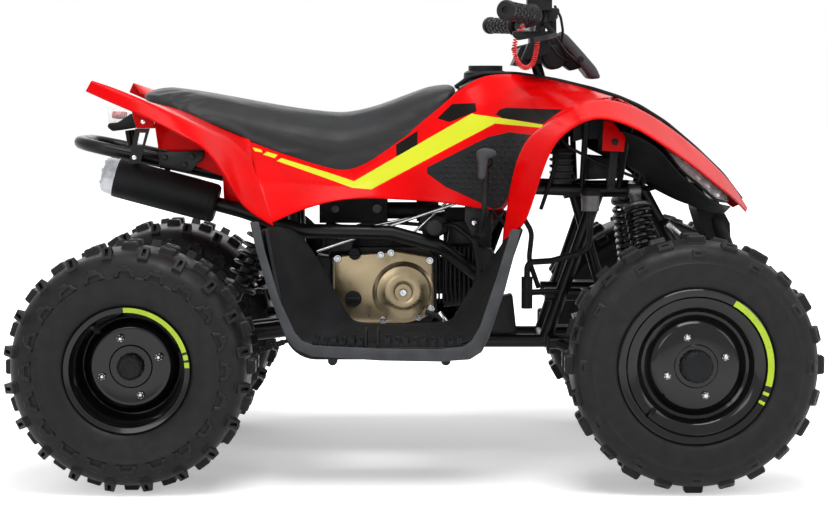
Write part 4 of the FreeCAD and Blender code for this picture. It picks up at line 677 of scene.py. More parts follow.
# Bodywork: rails of (x, y, z) in thousandths of the wheelbase, half width and body height
sideCoverRails = [
    ((-314, -360, 828), (-289, -650, 725), (-263, -810, 624)),
    ((-232, -340, 792), (-222, -570, 721), (-213, -670, 654)),
    ((-161, -340, 756), (-158, -510, 714), (-155, -580, 674)),
    ((-127, -330, 748), (-124, -490, 711), (-122, -550, 679)), ((-90, -310, 768), (-83, -480, 720), (-77, -530, 682)),
    ((-31, -290, 822), (-24, -470, 750), (-18, -520, 677)), ((40, -270, 890), (46, -470, 780), (50, -530, 673)),
    ((92, -285, 957), (110, -500, 810), (122, -600, 658)), ((130, -225, 983), (148, -520, 840), (168, -730, 652)),
    ((160, -195, 988), (176, -510, 890), (186, -775, 735)), ((195, -175, 988), (204, -500, 925), (207, -770, 830)),
    ((249, -160, 978), (246, -500, 938), (242, -765, 866)), ((320, -160, 957), (316, -460, 944), (312, -740, 921)),
    ((383, -160, 929), (372, -420, 930), (358, -675, 928))]
frontFenderRails = [
    ((165, -820, 585), (195, -950, 623)), ((172, -810, 665), (206, -965, 642)), ((183, -800, 752), (227, -980, 737)),
    ((203, -790, 829), (245, -990, 806)), ((239, -785, 863), (267, -1000, 843)), ((278, -780, 896), (299, -1000, 871)),
    ((315, -760, 921), (327, -990, 883)), ((360, -695, 927), (364, -965, 875)), ((416, -600, 903), (411, -910, 850)),
    ((469, -515, 863), (462, -830, 806)), ((524, -420, 810), (514, -710, 762)), ((573, -325, 756), (562, -580, 713)),
    ((612, -240, 703), (602, -420, 679)), ((641, -170, 648), (636, -225, 640))]
rearFenderRails = [
    ((-565, -720, 945), (-584, -810, 970), (-593, -830, 946)),
    ((-530, -600, 922), (-549, -820, 955), (-545, -846, 917)),
    ((-500, -400, 915), (-504, -820, 931), (-498, -857, 892)),
    ((-460, -340, 905), (-460, -810, 904), (-450, -870, 861)),
    ((-425, -330, 888), (-424, -790, 882), (-410, -880, 834)),
    ((-392, -330, 868), (-390, -750, 858), (-374, -890, 809)),
    ((-356, -330, 846), (-356, -610, 837), (-333, -900, 729)),
    ((-335, -330, 838), (-342, -540, 830), (-310, -886, 662)),
    ((-307, -400, 822), (-300, -580, 765), (-256, -830, 620))]
topCoverRails = [
    ((87, -280, 954), (86, 0, 966)), ((130, -210, 986), (130, 0, 993)), ((181, -165, 990), (181, 0, 997)),
    ((249, -145, 980), (249, 0, 988)), ((320, -145, 960), (320, 0, 970)), ((383, -145, 932), (383, 0, 944))]
noseCoverRails = [
    ((388, -630, 923), (390, 0, 936)), ((430, -555, 895), (432, 0, 914)), ((480, -475, 854), (484, 0, 872)),
    ((524, -400, 810), (530, 0, 828)), ((573, -305, 756), (578, 0, 772)), ((612, -220, 703), (616, 0, 720)),
    ((641, -150, 648), (646, 0, 660))]
panelLook = {"wall": 3.5, "edge": 1.2, "levels": 3, "crease": 0.55}


def railPoint(point):
    sizes = (quad["wheelbase"], quad["halfWidth"], quad["bodyHeight"])
    return Vector([share * thousandth * size * mm for share, size in zip(point, sizes)])


# A grid with its corners on rows of points, and where each corner stands in the rows
def gridOf(rows):
    bm = bmesh.new()
    stations, width = len(rows), len(rows[0])
    bmesh.ops.create_grid(bm, x_segments=stations - 1, y_segments=width - 1, size=1)
    spots = {vert: (round((vert.co.x + 1) / 2 * (stations - 1)), round((vert.co.y + 1) / 2 * (width - 1)))
             for vert in bm.verts}
    for vert, (i, j) in spots.items():
        vert.co = rows[i][j]
    return bm, spots


# A sheet on rails, creased along the rails between its borders
def railSheet(rails, crease):
    bm, spots = gridOf([[railPoint(point) for point in row] for row in rails])
    layer = bm.edges.layers.float.new("crease_edge")
    for edge in bm.edges:
        rowsOf = {spots[vert][1] for vert in edge.verts}
        if len(rowsOf) == 1 and rowsOf.pop() not in (0, len(rails[0]) - 1):
            edge[layer] = crease
    return bm


# A panel on one side is mirrored; a whole one has the first rail again on the left
def makePanel(name, surface, rails, replaced=(), crease=0.0, whole=False):
    if whole:
        rails = [[*row, (row[0][0], -row[0][1], row[0][2])] for row in rails]
    piece = makePiece(name, railSheet(rails, crease), surface, replaced, outward=False)
    mesh = thicken(piece, panelLook["levels"], panelLook["wall"], panelLook["edge"])
    if whole:
        shadeByAngle(mesh, panelAngle)
    else:
        mirrorMesh(mesh, panelAngle)


makePanel("side_cover_panels", "printed", sideCoverRails, ["side_covers"], panelLook["crease"])
makePanel("front_fender_panels", "red", frontFenderRails, ["front_fenders"], panelLook["crease"])
makePanel("rear_fender_panels", "red", rearFenderRails, ["rear_fenders"], panelLook["crease"])
makePanel("top_cover_panel", "dark", topCoverRails, ["top_cover"], whole=True)
makePanel("nose_cover_panel", "red", noseCoverRails, ["nose_cover"], whole=True)
print("bodywork made")


# Seat: crowned closed form swelled by a cloth simulation. Rails: x, half width, low, top in thousandths
seatRails = [
    (-520, 200, 928, 945), (-506, 300, 920, 957), (-460, 370, 900, 953), (-390, 390, 868, 940), (-310, 400, 818, 920),
    (-232, 400, 780, 902), (-161, 380, 742, 891), (-127, 365, 734, 890), (-70, 345, 760, 906), (-10, 320, 822, 938),
    (45, 290, 880, 963), (72, 260, 925, 967), (83, 200, 948, 960)]
seatLook = {
    "crown": [
        (-1, 0), (-0.99, 0.4), (-0.88, 0.74), (-0.5, 0.94), (0, 1), (0.5, 0.94), (0.88, 0.74), (0.99, 0.4), (1, 0)],
    "shrink": 1, "voxel": 5.5, "pressure": 4, "frames": 20, "cap": 6, "fill": 0.8,
}


def makeSeat():
    bm = bmesh.new()
    upper = seatLook["crown"]
    outline = upper + [(share, -0.02) for share, _ in reversed(upper[1:-1])]
    rings = []
    for x, half, low, top in seatRails:
        ring = bmesh.ops.create_circle(bm, segments=len(outline), radius=1)["verts"]
        halfY = (half * quad["halfWidth"] * thousandth - seatLook["shrink"]) * mm
        lowZ = low * quad["bodyHeight"] * thousandth * mm
        topZ = (top * quad["bodyHeight"] * thousandth - seatLook["shrink"]) * mm
        for vert, (across, up) in zip(ring, outline):
            vert.co = (x * quad["wheelbase"] * thousandth * mm, across * halfY, lowZ + max(up, 0) * (topZ - lowZ))
        rings.append(ring)
    for pair in zip(rings, rings[1:]):
        bmesh.ops.bridge_loops(bm, edges=[edge for ring in pair for edge in
                                          {line for vert in ring for line in vert.link_edges
                                           if all(end in ring for end in line.verts)}])
    for ring in (rings[0], rings[-1]):
        bmesh.ops.contextual_create(bm, geom=ring)
    piece = makePiece("seat_pad", bm, "seat", ["seat"], 60)
    thicken(piece, 1, corners="ALL")
    remesh = piece.modifiers.new("remesh", "REMESH")
    remesh.mode = "VOXEL"
    remesh.voxel_size = seatLook["voxel"] * mm
    mesh = applied(piece)
    mesh = swollen(piece, mesh)
    bm = bmesh.new()
    bm.from_mesh(mesh)
    bmesh.ops.smooth_vert(bm, verts=bm.verts, factor=0.5, use_axis_x=True, use_axis_y=True, use_axis_z=True)
    bm.to_mesh(mesh)
    bm.free()
    shadeByAngle(thicken(piece, 1, corners="ALL"), 60)


# Cloth under pressure on a held base; no point moves further than the cap
def swollen(piece, mesh):
    rest = [vert.co.copy() for vert in mesh.vertices]
    settings = piece.modifiers.new("cloth", "CLOTH").settings
    settings.use_pressure = True
    settings.uniform_pressure_force = seatLook["pressure"]
    settings.effector_weights.gravity = 0.0
    base = [vert.index for vert in mesh.vertices if vert.normal.z < -0.5]
    piece.vertex_groups.new(name="base").add(base, 1.0, "REPLACE")
    settings.vertex_group_mass = "base"
    for number in range(1, seatLook["frames"] + 1):
        scene.frame_set(number)
    mesh = applied(piece)
    scene.frame_set(1)
    for vert, start in zip(mesh.vertices, rest):
        move = vert.co - start
        if move.length > seatLook["cap"] * mm:
            vert.co = start + move.normalized() * seatLook["cap"] * mm
    return mesh


makeSeat()
print("seat made")


# Engine: champagne side cover with a turned clutch cover, filler caps and cover screws
engineLook = {
    "outline": [
        (-157, 400), (-157, 290), (-140, 277), (-20, 277), (24, 288), (40, 304), (40, 392), (30, 410), (-38, 421),
        (-60, 417), (-140, 411)],
    "clutchProfile": [
        (-6, 60), (1, 60), (3, 57), (6, 53), (9, 51.5), (12, 37), (13, 35.5), (13, 19), (12, 17.5), (9, 16.5), (9, 9),
        (8, 0)],
    "screws": [(-148, 404), (-64, 411), (-44, 415), (32, 400), (34, 306), (-60, 284), (10, 290)],
    "screwProfile": [(-2, 7.5), (2, 7.5), (3, 6.5), (3, 4.6), (8, 4.6), (9, 3.8), (9, 2.4), (6, 2.2), (6, 0)],
    "nutProfile": [(9, 8), (12, 8), (14, 6), (14, 3), (11, 2.6), (11, 0)],
    "face": 114, "back": 92, "clutch": (-20, 338), "caps": [(-118, 325, 16), (-115, 414, 12)],
}


def makeEngine():
    face, back = -engineLook["face"], -engineLook["back"]
    hub = (engineLook["clutch"][0], face, engineLook["clutch"][1])
    bm = bmesh.new()
    pushed(bm, [(x * mm, back * mm, z * mm) for x, z in engineLook["outline"]], (0, (face - back) * mm, 0))
    bevelled(bm, [edge for edge in bm.edges if edge.calc_face_angle(0) > 0.5], 5 * mm, 3)
    turned(bm, engineLook["clutchProfile"], hub, -1, 72)
    makePiece("engine_side_cover", bm, "bronze", ["engine_cover"], 35)
    screws = bmesh.new()
    for x, z in engineLook["screws"]:
        turned(screws, engineLook["screwProfile"], (x, face, z), -1, 18)
    turned(screws, engineLook["nutProfile"], hub, -1, 24)
    makePiece("engine_screws", screws, "zinc", sharp=35)
    caps = bmesh.new()
    for x, z, size in engineLook["caps"]:
        turned(caps, [(-4, size), (9, size), (12, size - 2), (12, 0)], (x, face + 4, z), -1, 32)
        block(caps, (x - size * 0.8, face - 13, z - 3), (x + size * 0.8, face - 6, z + 3), 1.2)
    makePiece("engine_caps", caps, "dark", sharp=30)


makeEngine()
print("engine made")


# Silencer on a slope: brushed end cap with six screws, and a satin black can
silencer = {
    "capProfile": [
        (12, 0), (12, 10), (4, 11), (1, 13), (0, 15), (0, 17), (3, 19), (3, 24), (2, 27), (3, 31), (6, 33.5), (9, 35),
        (24, 36.5), (26, 37.6), (28, 37.6)],
    "canProfile": [
        (27, 35), (27, 37.6), (30, 38), (36, 38), (212, 38), (213, 37), (214, 38), (222, 37), (226, 33), (226, 15)],
    "end": (-596, -168, 572), "slope": 15, "screw": 3.2, "screwRing": 24, "firstScrew": 20,
}


def makeSilencer():
    slope = math.radians(silencer["slope"])
    along = Vector((math.cos(slope), 0, -math.sin(slope)))
    spot = Matrix.Translation([value * mm for value in silencer["end"]])
    turn = spot @ along.to_track_quat("Y", "Z").to_matrix().to_4x4()
    for name, surface, replaced, profile, screws in (("muffler_end", "endCap", "muffler_cap", "capProfile", 6),
                                                     ("muffler_can", "can", "muffler", "canProfile", 0)):
        bm = bmesh.new()
        turned(bm, silencer[profile], steps=64)
        for number in range(screws):
            angle = math.radians(360 / screws * number + silencer["firstScrew"])
            x, z = [silencer["screwRing"] * share for share in (math.cos(angle), math.sin(angle))]
            pin(bm, x, z, 5, -1, silencer["screw"], 6, 0)
        bmesh.ops.transform(bm, matrix=turn, verts=bm.verts)
        makePiece(name, bm, surface, [replaced], 35)


makeSilencer()
print("silencer made")


# Shock absorbers: turned damper with spring seats, and a coil as a screw of round wire
shocks = [
    {"names": ("rear_shock_body", "rear_shock_coil"), "surface": "darkDamper", "replaced": "rear_shock",
     "ends": [((-262, 0, 520), (-372, 0, 292))], "spring": 34, "wire": 4.5, "turns": 8, "start": 0.22,
     "eye": (0, -11, 0), "end": 0.9},
    {"names": ("front_shock_bodies", "front_shock_coils"), "surface": "paleDamper", "replaced": "front_shocks",
     "ends": [((430, -118.3, 536), (478, -232, 216)), ((430, 118.3, 536), (478, 232, 216))], "spring": 27, "wire": 4.5,
     "turns": 9, "start": 0.5, "eye": (11, 0, 0), "end": 0.9},
]


def makeShock(bm, coil, look, top, low):
    top, low = Vector(top), Vector(low)
    run = (top - low).length
    turn = Matrix.Translation(low * mm) @ (top - low).to_track_quat("Y", "Z").to_matrix().to_4x4()
    seatLow, seatTop, ring = run * look["start"], run * look["end"], look["spring"]
    known = set(bm.verts)
    turned(bm, [(0, 8), (14, 9), (20, 13), (seatLow - 10, 13), (seatLow - 8, ring - 2), (seatLow - 5, ring),
                (seatLow, ring), (seatLow, 15), (seatLow + 40, 15), (seatLow + 42, 9), (seatTop, 9), (seatTop, ring),
                (seatTop + 5, ring), (seatTop + 8, ring - 3), (seatTop + 10, 12), (run, 10)], steps=32)
    bmesh.ops.transform(bm, matrix=turn, verts=newVerts(bm, known))
    for end in (top, low):
        roundRod(bm, end - Vector(look["eye"]), end + Vector(look["eye"]), 13)
    known = set(coil.verts)
    wire = look["wire"]
    start = Matrix.Translation(((ring - wire) * mm, (seatLow + wire) * mm, 0))
    verts = bmesh.ops.create_circle(coil, segments=8, radius=wire * mm, matrix=start)["verts"]
    steps = look["turns"] * 20
    rise = (seatTop - seatLow - 2 * wire) * mm / steps
    bmesh.ops.spin(coil, geom=verts + list({edge for vert in verts for edge in vert.link_edges}), cent=(0, 0, 0),
                   axis=(0, 1, 0), dvec=(0, rise, 0), angle=fullTurn * look["turns"], steps=steps)
    bmesh.ops.holes_fill(coil, edges=coil.edges)
    bmesh.ops.transform(coil, matrix=turn, verts=newVerts(coil, known))


def makeShocks():
    for look in shocks:
        bm, coil = bmesh.new(), bmesh.new()
        for top, low in look["ends"]:
            makeShock(bm, coil, look, top, low)
        makePiece(look["names"][0], bm, look["surface"], [look["replaced"]])
        makePiece(look["names"][1], coil, "spring")


makeShocks()
print("shocks made")


# Knee panels: cut from the cover's own curve, with a smooth border and staggered hooks that grip
kneeLook = {
    "outline": [
        (26, 757), (140, 832), (180, 845), (222, 838), (222, 770), (212, 690), (180, 640), (94, 690), (60, 710),
        (26, 742)],
    "hook": [((-4.5, -1.3, -2), (3, 1.3, 1.3)), ((1.6, -4, -2), (4.2, 1, 1.3))],
    "lift": 0.6, "wall": 3.2, "pitch": (15, 10), "border": 9, "edge": 1.4, "start": (24, 496), "rows": 20,
    "columns": 16, "slant": (1, 0, 0.45),
}


def outlineSides(corners):
    middle = sum(corners, Vector()) / len(corners)
    sides = []
    for first, second in zip(corners, corners[1:] + corners[:1]):
        across = Vector((second.z - first.z, 0, first.x - second.x)).normalized()
        sides.append((first, across if across.dot(middle - first) < 0 else -across))
    return sides


def makeKnees():
    piece = makePiece("knee_pads", railSheet(sideCoverRails, panelLook["crease"]), "dark", ["knee_panels"],
                      outward=False)
    mesh = thicken(piece, panelLook["levels"])
    bm = bmesh.new()
    bm.from_mesh(mesh)
    sides = outlineSides([railPoint((x, 0, z)) for x, z in kneeLook["outline"]])
    for first, across in sides:
        bmesh.ops.bisect_plane(bm, geom=bm.verts[:] + bm.edges[:] + bm.faces[:], plane_co=first, plane_no=across,
                               clear_outer=True)
    outward = -1 if sum(face.normal.y * face.calc_area() for face in bm.faces) > 0 else 1
    bm.normal_update()
    for vert in bm.verts:
        vert.co += vert.normal * outward * (kneeLook["lift"] + kneeLook["wall"]) * mm
    tree = BVHTree.FromBMesh(bm)
    bm.to_mesh(mesh)
    bm.free()
    mesh = thicken(piece, 0, kneeLook["wall"], kneeLook["edge"], -outward)
    bm = bmesh.new()
    bm.from_mesh(mesh)
    hook = bmesh.new()
    for low, high in kneeLook["hook"]:
        block(hook, low, high, 0.7)
    hook = asMesh(hook)
    (startX, startZ), (stepX, stepZ) = kneeLook["start"], kneeLook["pitch"]
    for row in range(kneeLook["rows"]):
        for column in range(kneeLook["columns"]):
            spot = Vector((startX + (column + 0.5 * (row % 2)) * stepX, 0, startZ + row * stepZ)) * mm
            if any((spot - first).dot(across) > -kneeLook["border"] * mm for first, across in sides):
                continue
            hit, normal, _, _ = tree.ray_cast(spot - Vector((0, 1, 0)), Vector((0, 1, 0)))
            if hit is None:
                continue
            normal = normal if normal.y < 0 else -normal
            along = Vector(kneeLook["slant"])
            along = (along - normal * along.dot(normal)).normalized()
            axes = Matrix((along, normal.cross(along), normal)).transposed().to_4x4()
            placed(bm, hook, Matrix.Translation(hit) @ axes)
    bmesh.ops.recalc_face_normals(bm, faces=bm.faces)
    bm.to_mesh(mesh)
    bm.free()
    mirrorMesh(mesh, 35)


makeKnees()
print("knee pads made")


# Footwells: sloping inner guards from the tray's edge to the frame, leaning rims, and toothed pegs on the floor
footLook = {
    "outer": [
        (-293, -345, 483), (-284, -345, 436), (-258, -345, 352), (-232, -342, 286), (-206, -338, 260),
        (-155, -330, 254), (77, -330, 254), (116, -330, 266), (138, -330, 310), (160, -330, 366), (180, -330, 427),
        (198, -325, 476)],
    "inner": [
        (-232, -222, 472), (-204, -222, 444), (-174, -222, 394), (-144, -222, 337), (-121, -222, 295),
        (-106, -222, 285), (66, -222, 285), (81, -222, 299), (104, -222, 345), (132, -222, 385), (161, -222, 425),
        (187, -222, 463)],
    "rim": [
        (-300, 490), (-289, 438), (-262, 346), (-235, 276), (-218, 255), (-187, 242), (-62, 234), (49, 232),
        (104, 236), (126, 250), (139, 276), (168, 364), (197, 476), (179, 476), (154, 392), (123, 298), (108, 272),
        (93, 260), (49, 255), (-62, 256), (-183, 262), (-205, 270), (-218, 285), (-246, 346), (-273, 438),
        (-284, 490)],
    "lean": (387, 337), "knee": 284, "top": 474, "drawn": 350, "levels": 2, "wall": 3.5, "edge": 1.2, "pegs": 17,
    "firstPeg": -186, "pegStep": 16.5, "pegTops": (281, 276), "pegGap": (-92, -56), "ribs": (-90, -68),
}


def makeFootwells():
    rows = [[Vector([value * mm for value in point]) for point in pair]
            for pair in zip(footLook["outer"], footLook["inner"])]
    bm, spots = gridOf(rows)
    ribs = [edge for edge in bm.edges if {spots[vert][1] for vert in edge.verts} == {0, 1}
            and spots[edge.verts[0]][0] > 0]
    bmesh.ops.subdivide_edges(bm, edges=ribs, cuts=2)
    piece = makePiece("footwell_guards", bm, "dark")
    mirrorMesh(thicken(piece, footLook["levels"], footLook["wall"], footLook["edge"], corners="ALL"), panelAngle)
    rims = bmesh.new()
    sidePrism(rims, footLook["rim"], -6, 3, 2)
    # the rim was drawn as seen by the camera on a nearer plane, and is moved in to where it stands
    eye, eyeZ = -cameraLook["place"][1], cameraLook["place"][2] * mm
    for vert in rims.verts:
        up = min(max((vert.co.z / mm - footLook["knee"]) / (footLook["top"] - footLook["knee"]), 0.0), 1.05)
        out = footLook["lean"][0] + (footLook["lean"][1] - footLook["lean"][0]) * up
        nearer = (eye - out) / (eye - footLook["drawn"])
        vert.co = (vert.co.x * nearer, vert.co.y - out * mm, eyeZ - (eyeZ - vert.co.z) * nearer)
    makePiece("footwell_rims", rims, "grey", ["footwell_strips"], mirrored=True)
    pegs = bmesh.new()
    low, high = footLook["pegGap"]
    for number in range(footLook["pegs"]):
        x = footLook["firstPeg"] + number * footLook["pegStep"]
        tall = footLook["pegTops"][number % 2]
        if low < x < high:
            continue
        sidePrism(pegs, [(x, 256), (x + 13, 256), (x + 11, tall), (x + 6, tall - 5), (x + 2, tall)], -382, -366, 1)
        sidePrism(pegs, [(x + 3, 254), (x + 14, 254), (x + 12, tall - 3), (x + 5, tall - 3)], -318, -302, 1)
    sidePrism(pegs, [(-194, 252), (90, 252), (88, 262), (-192, 262)], -384, -300, 1.5)
    for x in footLook["ribs"]:
        sidePrism(pegs, [(x, 256), (x + 5, 256), (x + 5, 291), (x, 291)], -386, -300, 1.2)
    makePiece("foot_pegs", pegs, "dark", mirrored=True)


makeFootwells()
print("footwells made")


# Rear end: inner walls of the fenders, tail lamp with a clear lens, hanger and bolts
rearParts = {
    "rear_fender_walls": {"surface": "red", "replaced": ["rear_fenders"], "mirrored": True, "shapes": [
        (sidePrism, [(-500, 676), (-492, 620), (-458, 612), (-420, 585), (-368, 566), (-366, 512), (-336, 500),
            (-326, 531), (-330, 601), (-345, 631), (-395, 651)], -150, -146.5, 1),
        (sidePrism, [(-538, 707), (-500, 698), (-490, 659), (-525, 659)], -215, -200, 2)]},
    "tail_lamp_lens": {"surface": "clear", "replaced": ["tail_lamp"], "shapes": [
        (sidePrism, [(-604, 702), (-572, 692), (-556, 685), (-583, 668.5), (-602, 667)], -54, 54, 3)]},
    "tail_lamp_housing": {"surface": "dark", "shapes": [
        (sidePrism, [(-602, 667), (-583, 668.5), (-556, 687), (-543, 675), (-543, 659), (-594, 651), (-604, 659)],
            -55, 55, 3)]},
    "tail_lamp_reflectors": {"surface": "redLamp", "shapes": [
        (roundRod, (-596, y, 684), (-578, y, 682), 7.5, 20, 2) for y in (-38, -13, 13, 38)]},
    "muffler_hanger": {"surface": "bracket", "shapes": [
        (sidePrism, [(-491, 613), (-401, 617), (-405, 601), (-430, 575), (-488, 582)], -161, -157, 1.2),
        *((pin, x, z, -166, -157, 6, 6, 1) for x, z in ((-478, 603), (-425, 604), (-440, 588)))]},
    "strap_bolts": {"surface": "zinc", "mirrored": True, "shapes": [
        (pin, x, z, y, y + 6, 5, 6, 1) for x, z, y in ((-530, 604, -212), (-512, 672, -217))]},
}

makeParts(rearParts)
print("rear end made")


# Front end: lamps behind clear lenses, brackets under the fenders, brake cup and top moulding
headRails = [
    ((463, -625, 806), (480, -620, 781), (494, -605, 756)), ((506, -572, 778), (517, -565, 750), (528, -552, 720)),
    ((548, -492, 735), (558, -485, 705), (568, -472, 676)), ((584, -385, 700), (590, -378, 686), (594, -366, 670))]
liningRails = [
    ((285, -880, 869), (292, -660, 904), (300, 0, 952)), ((322, -870, 888), (330, -660, 914), (340, 0, 942)),
    ((362, -840, 886), (365, -660, 915), (372, 0, 926)), ((404, -760, 872), (400, -600, 898), (402, 0, 914)),
    ((436, -700, 840), (430, -540, 882), (432, 0, 898)), ((480, -560, 822), (482, -460, 842), (484, 0, 856)),
    ((524, -390, 794), (527, -200, 804), (530, 0, 812)), ((573, -300, 740), (576, -160, 750), (578, 0, 757)),
    ((608, -220, 692), (610, -100, 699), (612, 0, 705))]
linerRails = [
    ((350, -600, 862), (350, -300, 800)), ((408, -740, 846), (392, -300, 772)), ((455, -760, 806), (432, -320, 742)),
    ((488, -620, 750), (455, -340, 712)), ((526, -560, 713), (500, -360, 680)), ((566, -480, 668), (545, -360, 650)),
    ((600, -370, 660), (590, -300, 640))]
lampLook = {"bezel": 3, "bend": 12, "shrink": 0.95, "drop": 2, "linings": [(0.46, 34), (0.42, -50)],
            "shells": [("head_lamp_bowls", 12, "mirror"), ("head_lamp_housings", 30, "dark")],
            "bulb": 10, "bulbs": [(543, -176, 566), (562, -165, 550), (582, -152, 532)]}


def makeHeadLamps():
    makePanel("head_lamp_lenses", "clear", headRails, ["head_lamps"])
    upper, lower = [[railPoint(row[end]) / mm for row in headRails] for end in (0, -1)]
    rims = bmesh.new()
    tubeInto(rims, upper + lower[::-1] + upper[:2], lampLook["bezel"], lampLook["bend"])
    makePiece("head_lamp_bezels", rims, "dark", mirrored=True)
    for name, back, surface in lampLook["shells"]:
        bowl = railSheet(headRails, 0.0)
        bmesh.ops.subdivide_edges(bowl, edges=bowl.edges[:], cuts=3, use_grid_fill=True, smooth=1.0)
        middle = sum((vert.co for vert in bowl.verts), Vector()) / len(bowl.verts)
        for vert in bowl.verts:
            vert.co = middle + (vert.co - middle) * lampLook["shrink"] + Vector((0, back, -lampLook["drop"])) * mm
        makePiece(name, bowl, surface, mirrored=True)
    bulbs = bmesh.new()
    for x, y, z in lampLook["bulbs"]:
        bmesh.ops.create_uvsphere(bulbs, u_segments=24, v_segments=14, radius=lampLook["bulb"] * mm,
                                  matrix=Matrix.Translation((x * mm, y * mm, z * mm)))
    makePiece("head_lamp_bulbs", bulbs, "mirror", mirrored=True)
    # dark linings close the space between the fender lips and the inner liners
    rails = [tuple((x, y * share, z + rise) for share, rise in lampLook["linings"])
             for _, (x, y, z) in frontFenderRails[5:11]]
    makePanel("fender_linings", "dark", rails)
    makePanel("fender_liners", "dark", linerRails, ["inner_liners"])
    makePanel("nose_lining", "dark", liningRails, whole=True)


def capCollar(bm):
    turned(bm, [(752, 44), (766, 43), (770, 38), (772, 30)])
    turn = Matrix.Translation((143.5 * mm, 0, 0)) @ Matrix.Rotation(math.pi / 2, 4, "X")
    bmesh.ops.transform(bm, matrix=turn, verts=bm.verts)


frontParts = {
    "fender_brackets": {"surface": "red", "mirrored": True, "shapes": [
        (sidePrism, [(358, 674), (374, 674), (400, 643), (397, 615), (356, 617)], -234, -230, 1.2)]},
    "front_straps": {"surface": "dark", "shapes": [
        (sidePrism, [(372, 617), (387, 617), (380, 539), (365, 539)], -229, -226, 0.8),
        (pin, 380, 634, -237, -224, 6.5, 16, 1), (pin, 371, 546, -237, -224, 5, 16, 1),
        (roundRod, (339.3, -175, 530), (339.3, -175, 541), 19, 24, 1),
        (roundRod, (339.3, -175, 541), (339.3, -175, 544), 16, 24, 1)]},
    "damper_tubes": {"surface": "brushed", "mirrored": True, "shapes": [
        (roundRod, (489, -160, 476), (532, -160, 434), 8.5, 24, 1.5)]},
    "cover_moulding": {"surface": "dark", "mirrored": True, "shapes": [
        (tubeInto, [(84, -36, 738), (110, -42, 757), (141, -46, 765), (204, -46, 764), (280, -46, 752),
            (355, -44, 734), (406, -40, 718), (448, -34, 700), (500, -26, 668), (560, -22, 618), (615, -16, 566),
            (655, -10, 515)], 4.5, 30)]},
    "cap_collar": {"surface": "dark", "shapes": [(capCollar,)]},
}

makeHeadLamps()
makeParts(frontParts)
print("front end made")


# Handlebar: ribbed grips, lever perches, master cylinder, bar cover, visor and the round key housing
gripLook = {
    "profile": [
        (-3, 0), (-3, 5.5), (-7, 7), (-7, 15), (-4, 18.5), (4, 18.5), (6, 15.5), (10, 15.3), (102, 15.3), (106, 17.5),
        (109, 21), (114, 21), (117, 16.5), (118, 12)],
    "end": (168, -392, 874), "inner": (233, -262, 868), "stud": [(-3.6, -5, -1.5), (3.6, 5, 1.3), 0.8], "around": 10,
    "rows": 6, "studPlaces": (18, 14, 15.9),
}


def gripShape(bm):
    end, inner = Vector(gripLook["end"]), Vector(gripLook["inner"])
    turn = Matrix.Translation(end * mm) @ (inner - end).to_track_quat("Y", "Z").to_matrix().to_4x4()
    turned(bm, gripLook["profile"])
    stud = bmesh.new()
    block(stud, *gripLook["stud"])
    stud = asMesh(stud)
    around, (first, pitch, out) = gripLook["around"], gripLook["studPlaces"]
    for row in range(gripLook["rows"]):
        for number in range(around):
            angle = 360 / around * (number + 0.5 * (row % 2))
            placed(bm, stud, wheelSpot((0, 0, 0), 1, angle, first + row * pitch, out, 0))
    bmesh.ops.transform(bm, matrix=turn, verts=bm.verts)


# A cable through points on the side view, stepping 22 mm towards the middle at each
def cable(bm, *route):
    tubeInto(bm, [(x, 22 * k - 150, z) for k, (x, z) in enumerate(route)], 2.6, 20, 4)


barParts = {
    "grips_ribbed": {"surface": "rubber", "replaced": ["grips"], "mirrored": True, "body": "steering", "shapes": [
        (gripShape,)]},
    "visor_shell": {"surface": "grey", "replaced": ["visor"], "sharp": 40, "body": "steering", "shapes": [
        (sidePrism, [(288, 849), (304, 838), (334, 805), (360, 775), (369, 754), (348, 755), (328, 781), (306, 808),
            (290, 818)], -68, 68, 7)]},
    "perch_covers": {"surface": "dark", "mirrored": True, "body": "steering", "shapes": [
        (sidePrism, [(208, 789), (223, 824), (257, 834), (266, 815), (262, 800), (231, 792)], -112, -70, 4)]},
    "bar_fittings": {"surface": "dark", "body": "steering", "shapes": [
        (pin, 278, 797, -46, 46, 24, 32, 5),
        (sidePrism, [(262, 846), (300, 836), (332, 800), (338, 778), (312, 770), (268, 802)], -34, 34, 5),
        (sidePrism, [(211, 884), (271, 884), (273, 876), (262, 858), (222, 860), (211, 874)], -262, -236, 3),
        (sidePrism, [(185, 841), (257, 841), (262, 826), (224, 829), (196, 824), (186, 831)], -262, -240, 3),
        (sidePrism, [(255, 872), (267, 872), (268, 826), (256, 826)], -250, -235, 2),
        (pin, 328, 793, -72, -64, 6, 6, 1), (pin, 328, 793, 72, 64, 6, 6, 1)]},
    "bar_cables": {"surface": "rubber", "body": "steering", "shapes": [
        (cable, (271, 892), (284, 872), (290, 846), (288, 818), (300, 798)),
        (cable, (275, 872), (262, 852), (259, 827), (281, 800), (300, 790)),
        (cable, (262, 858), (272, 836), (296, 806), (316, 790))]},
}

makeParts(barParts)
print("handlebar made")


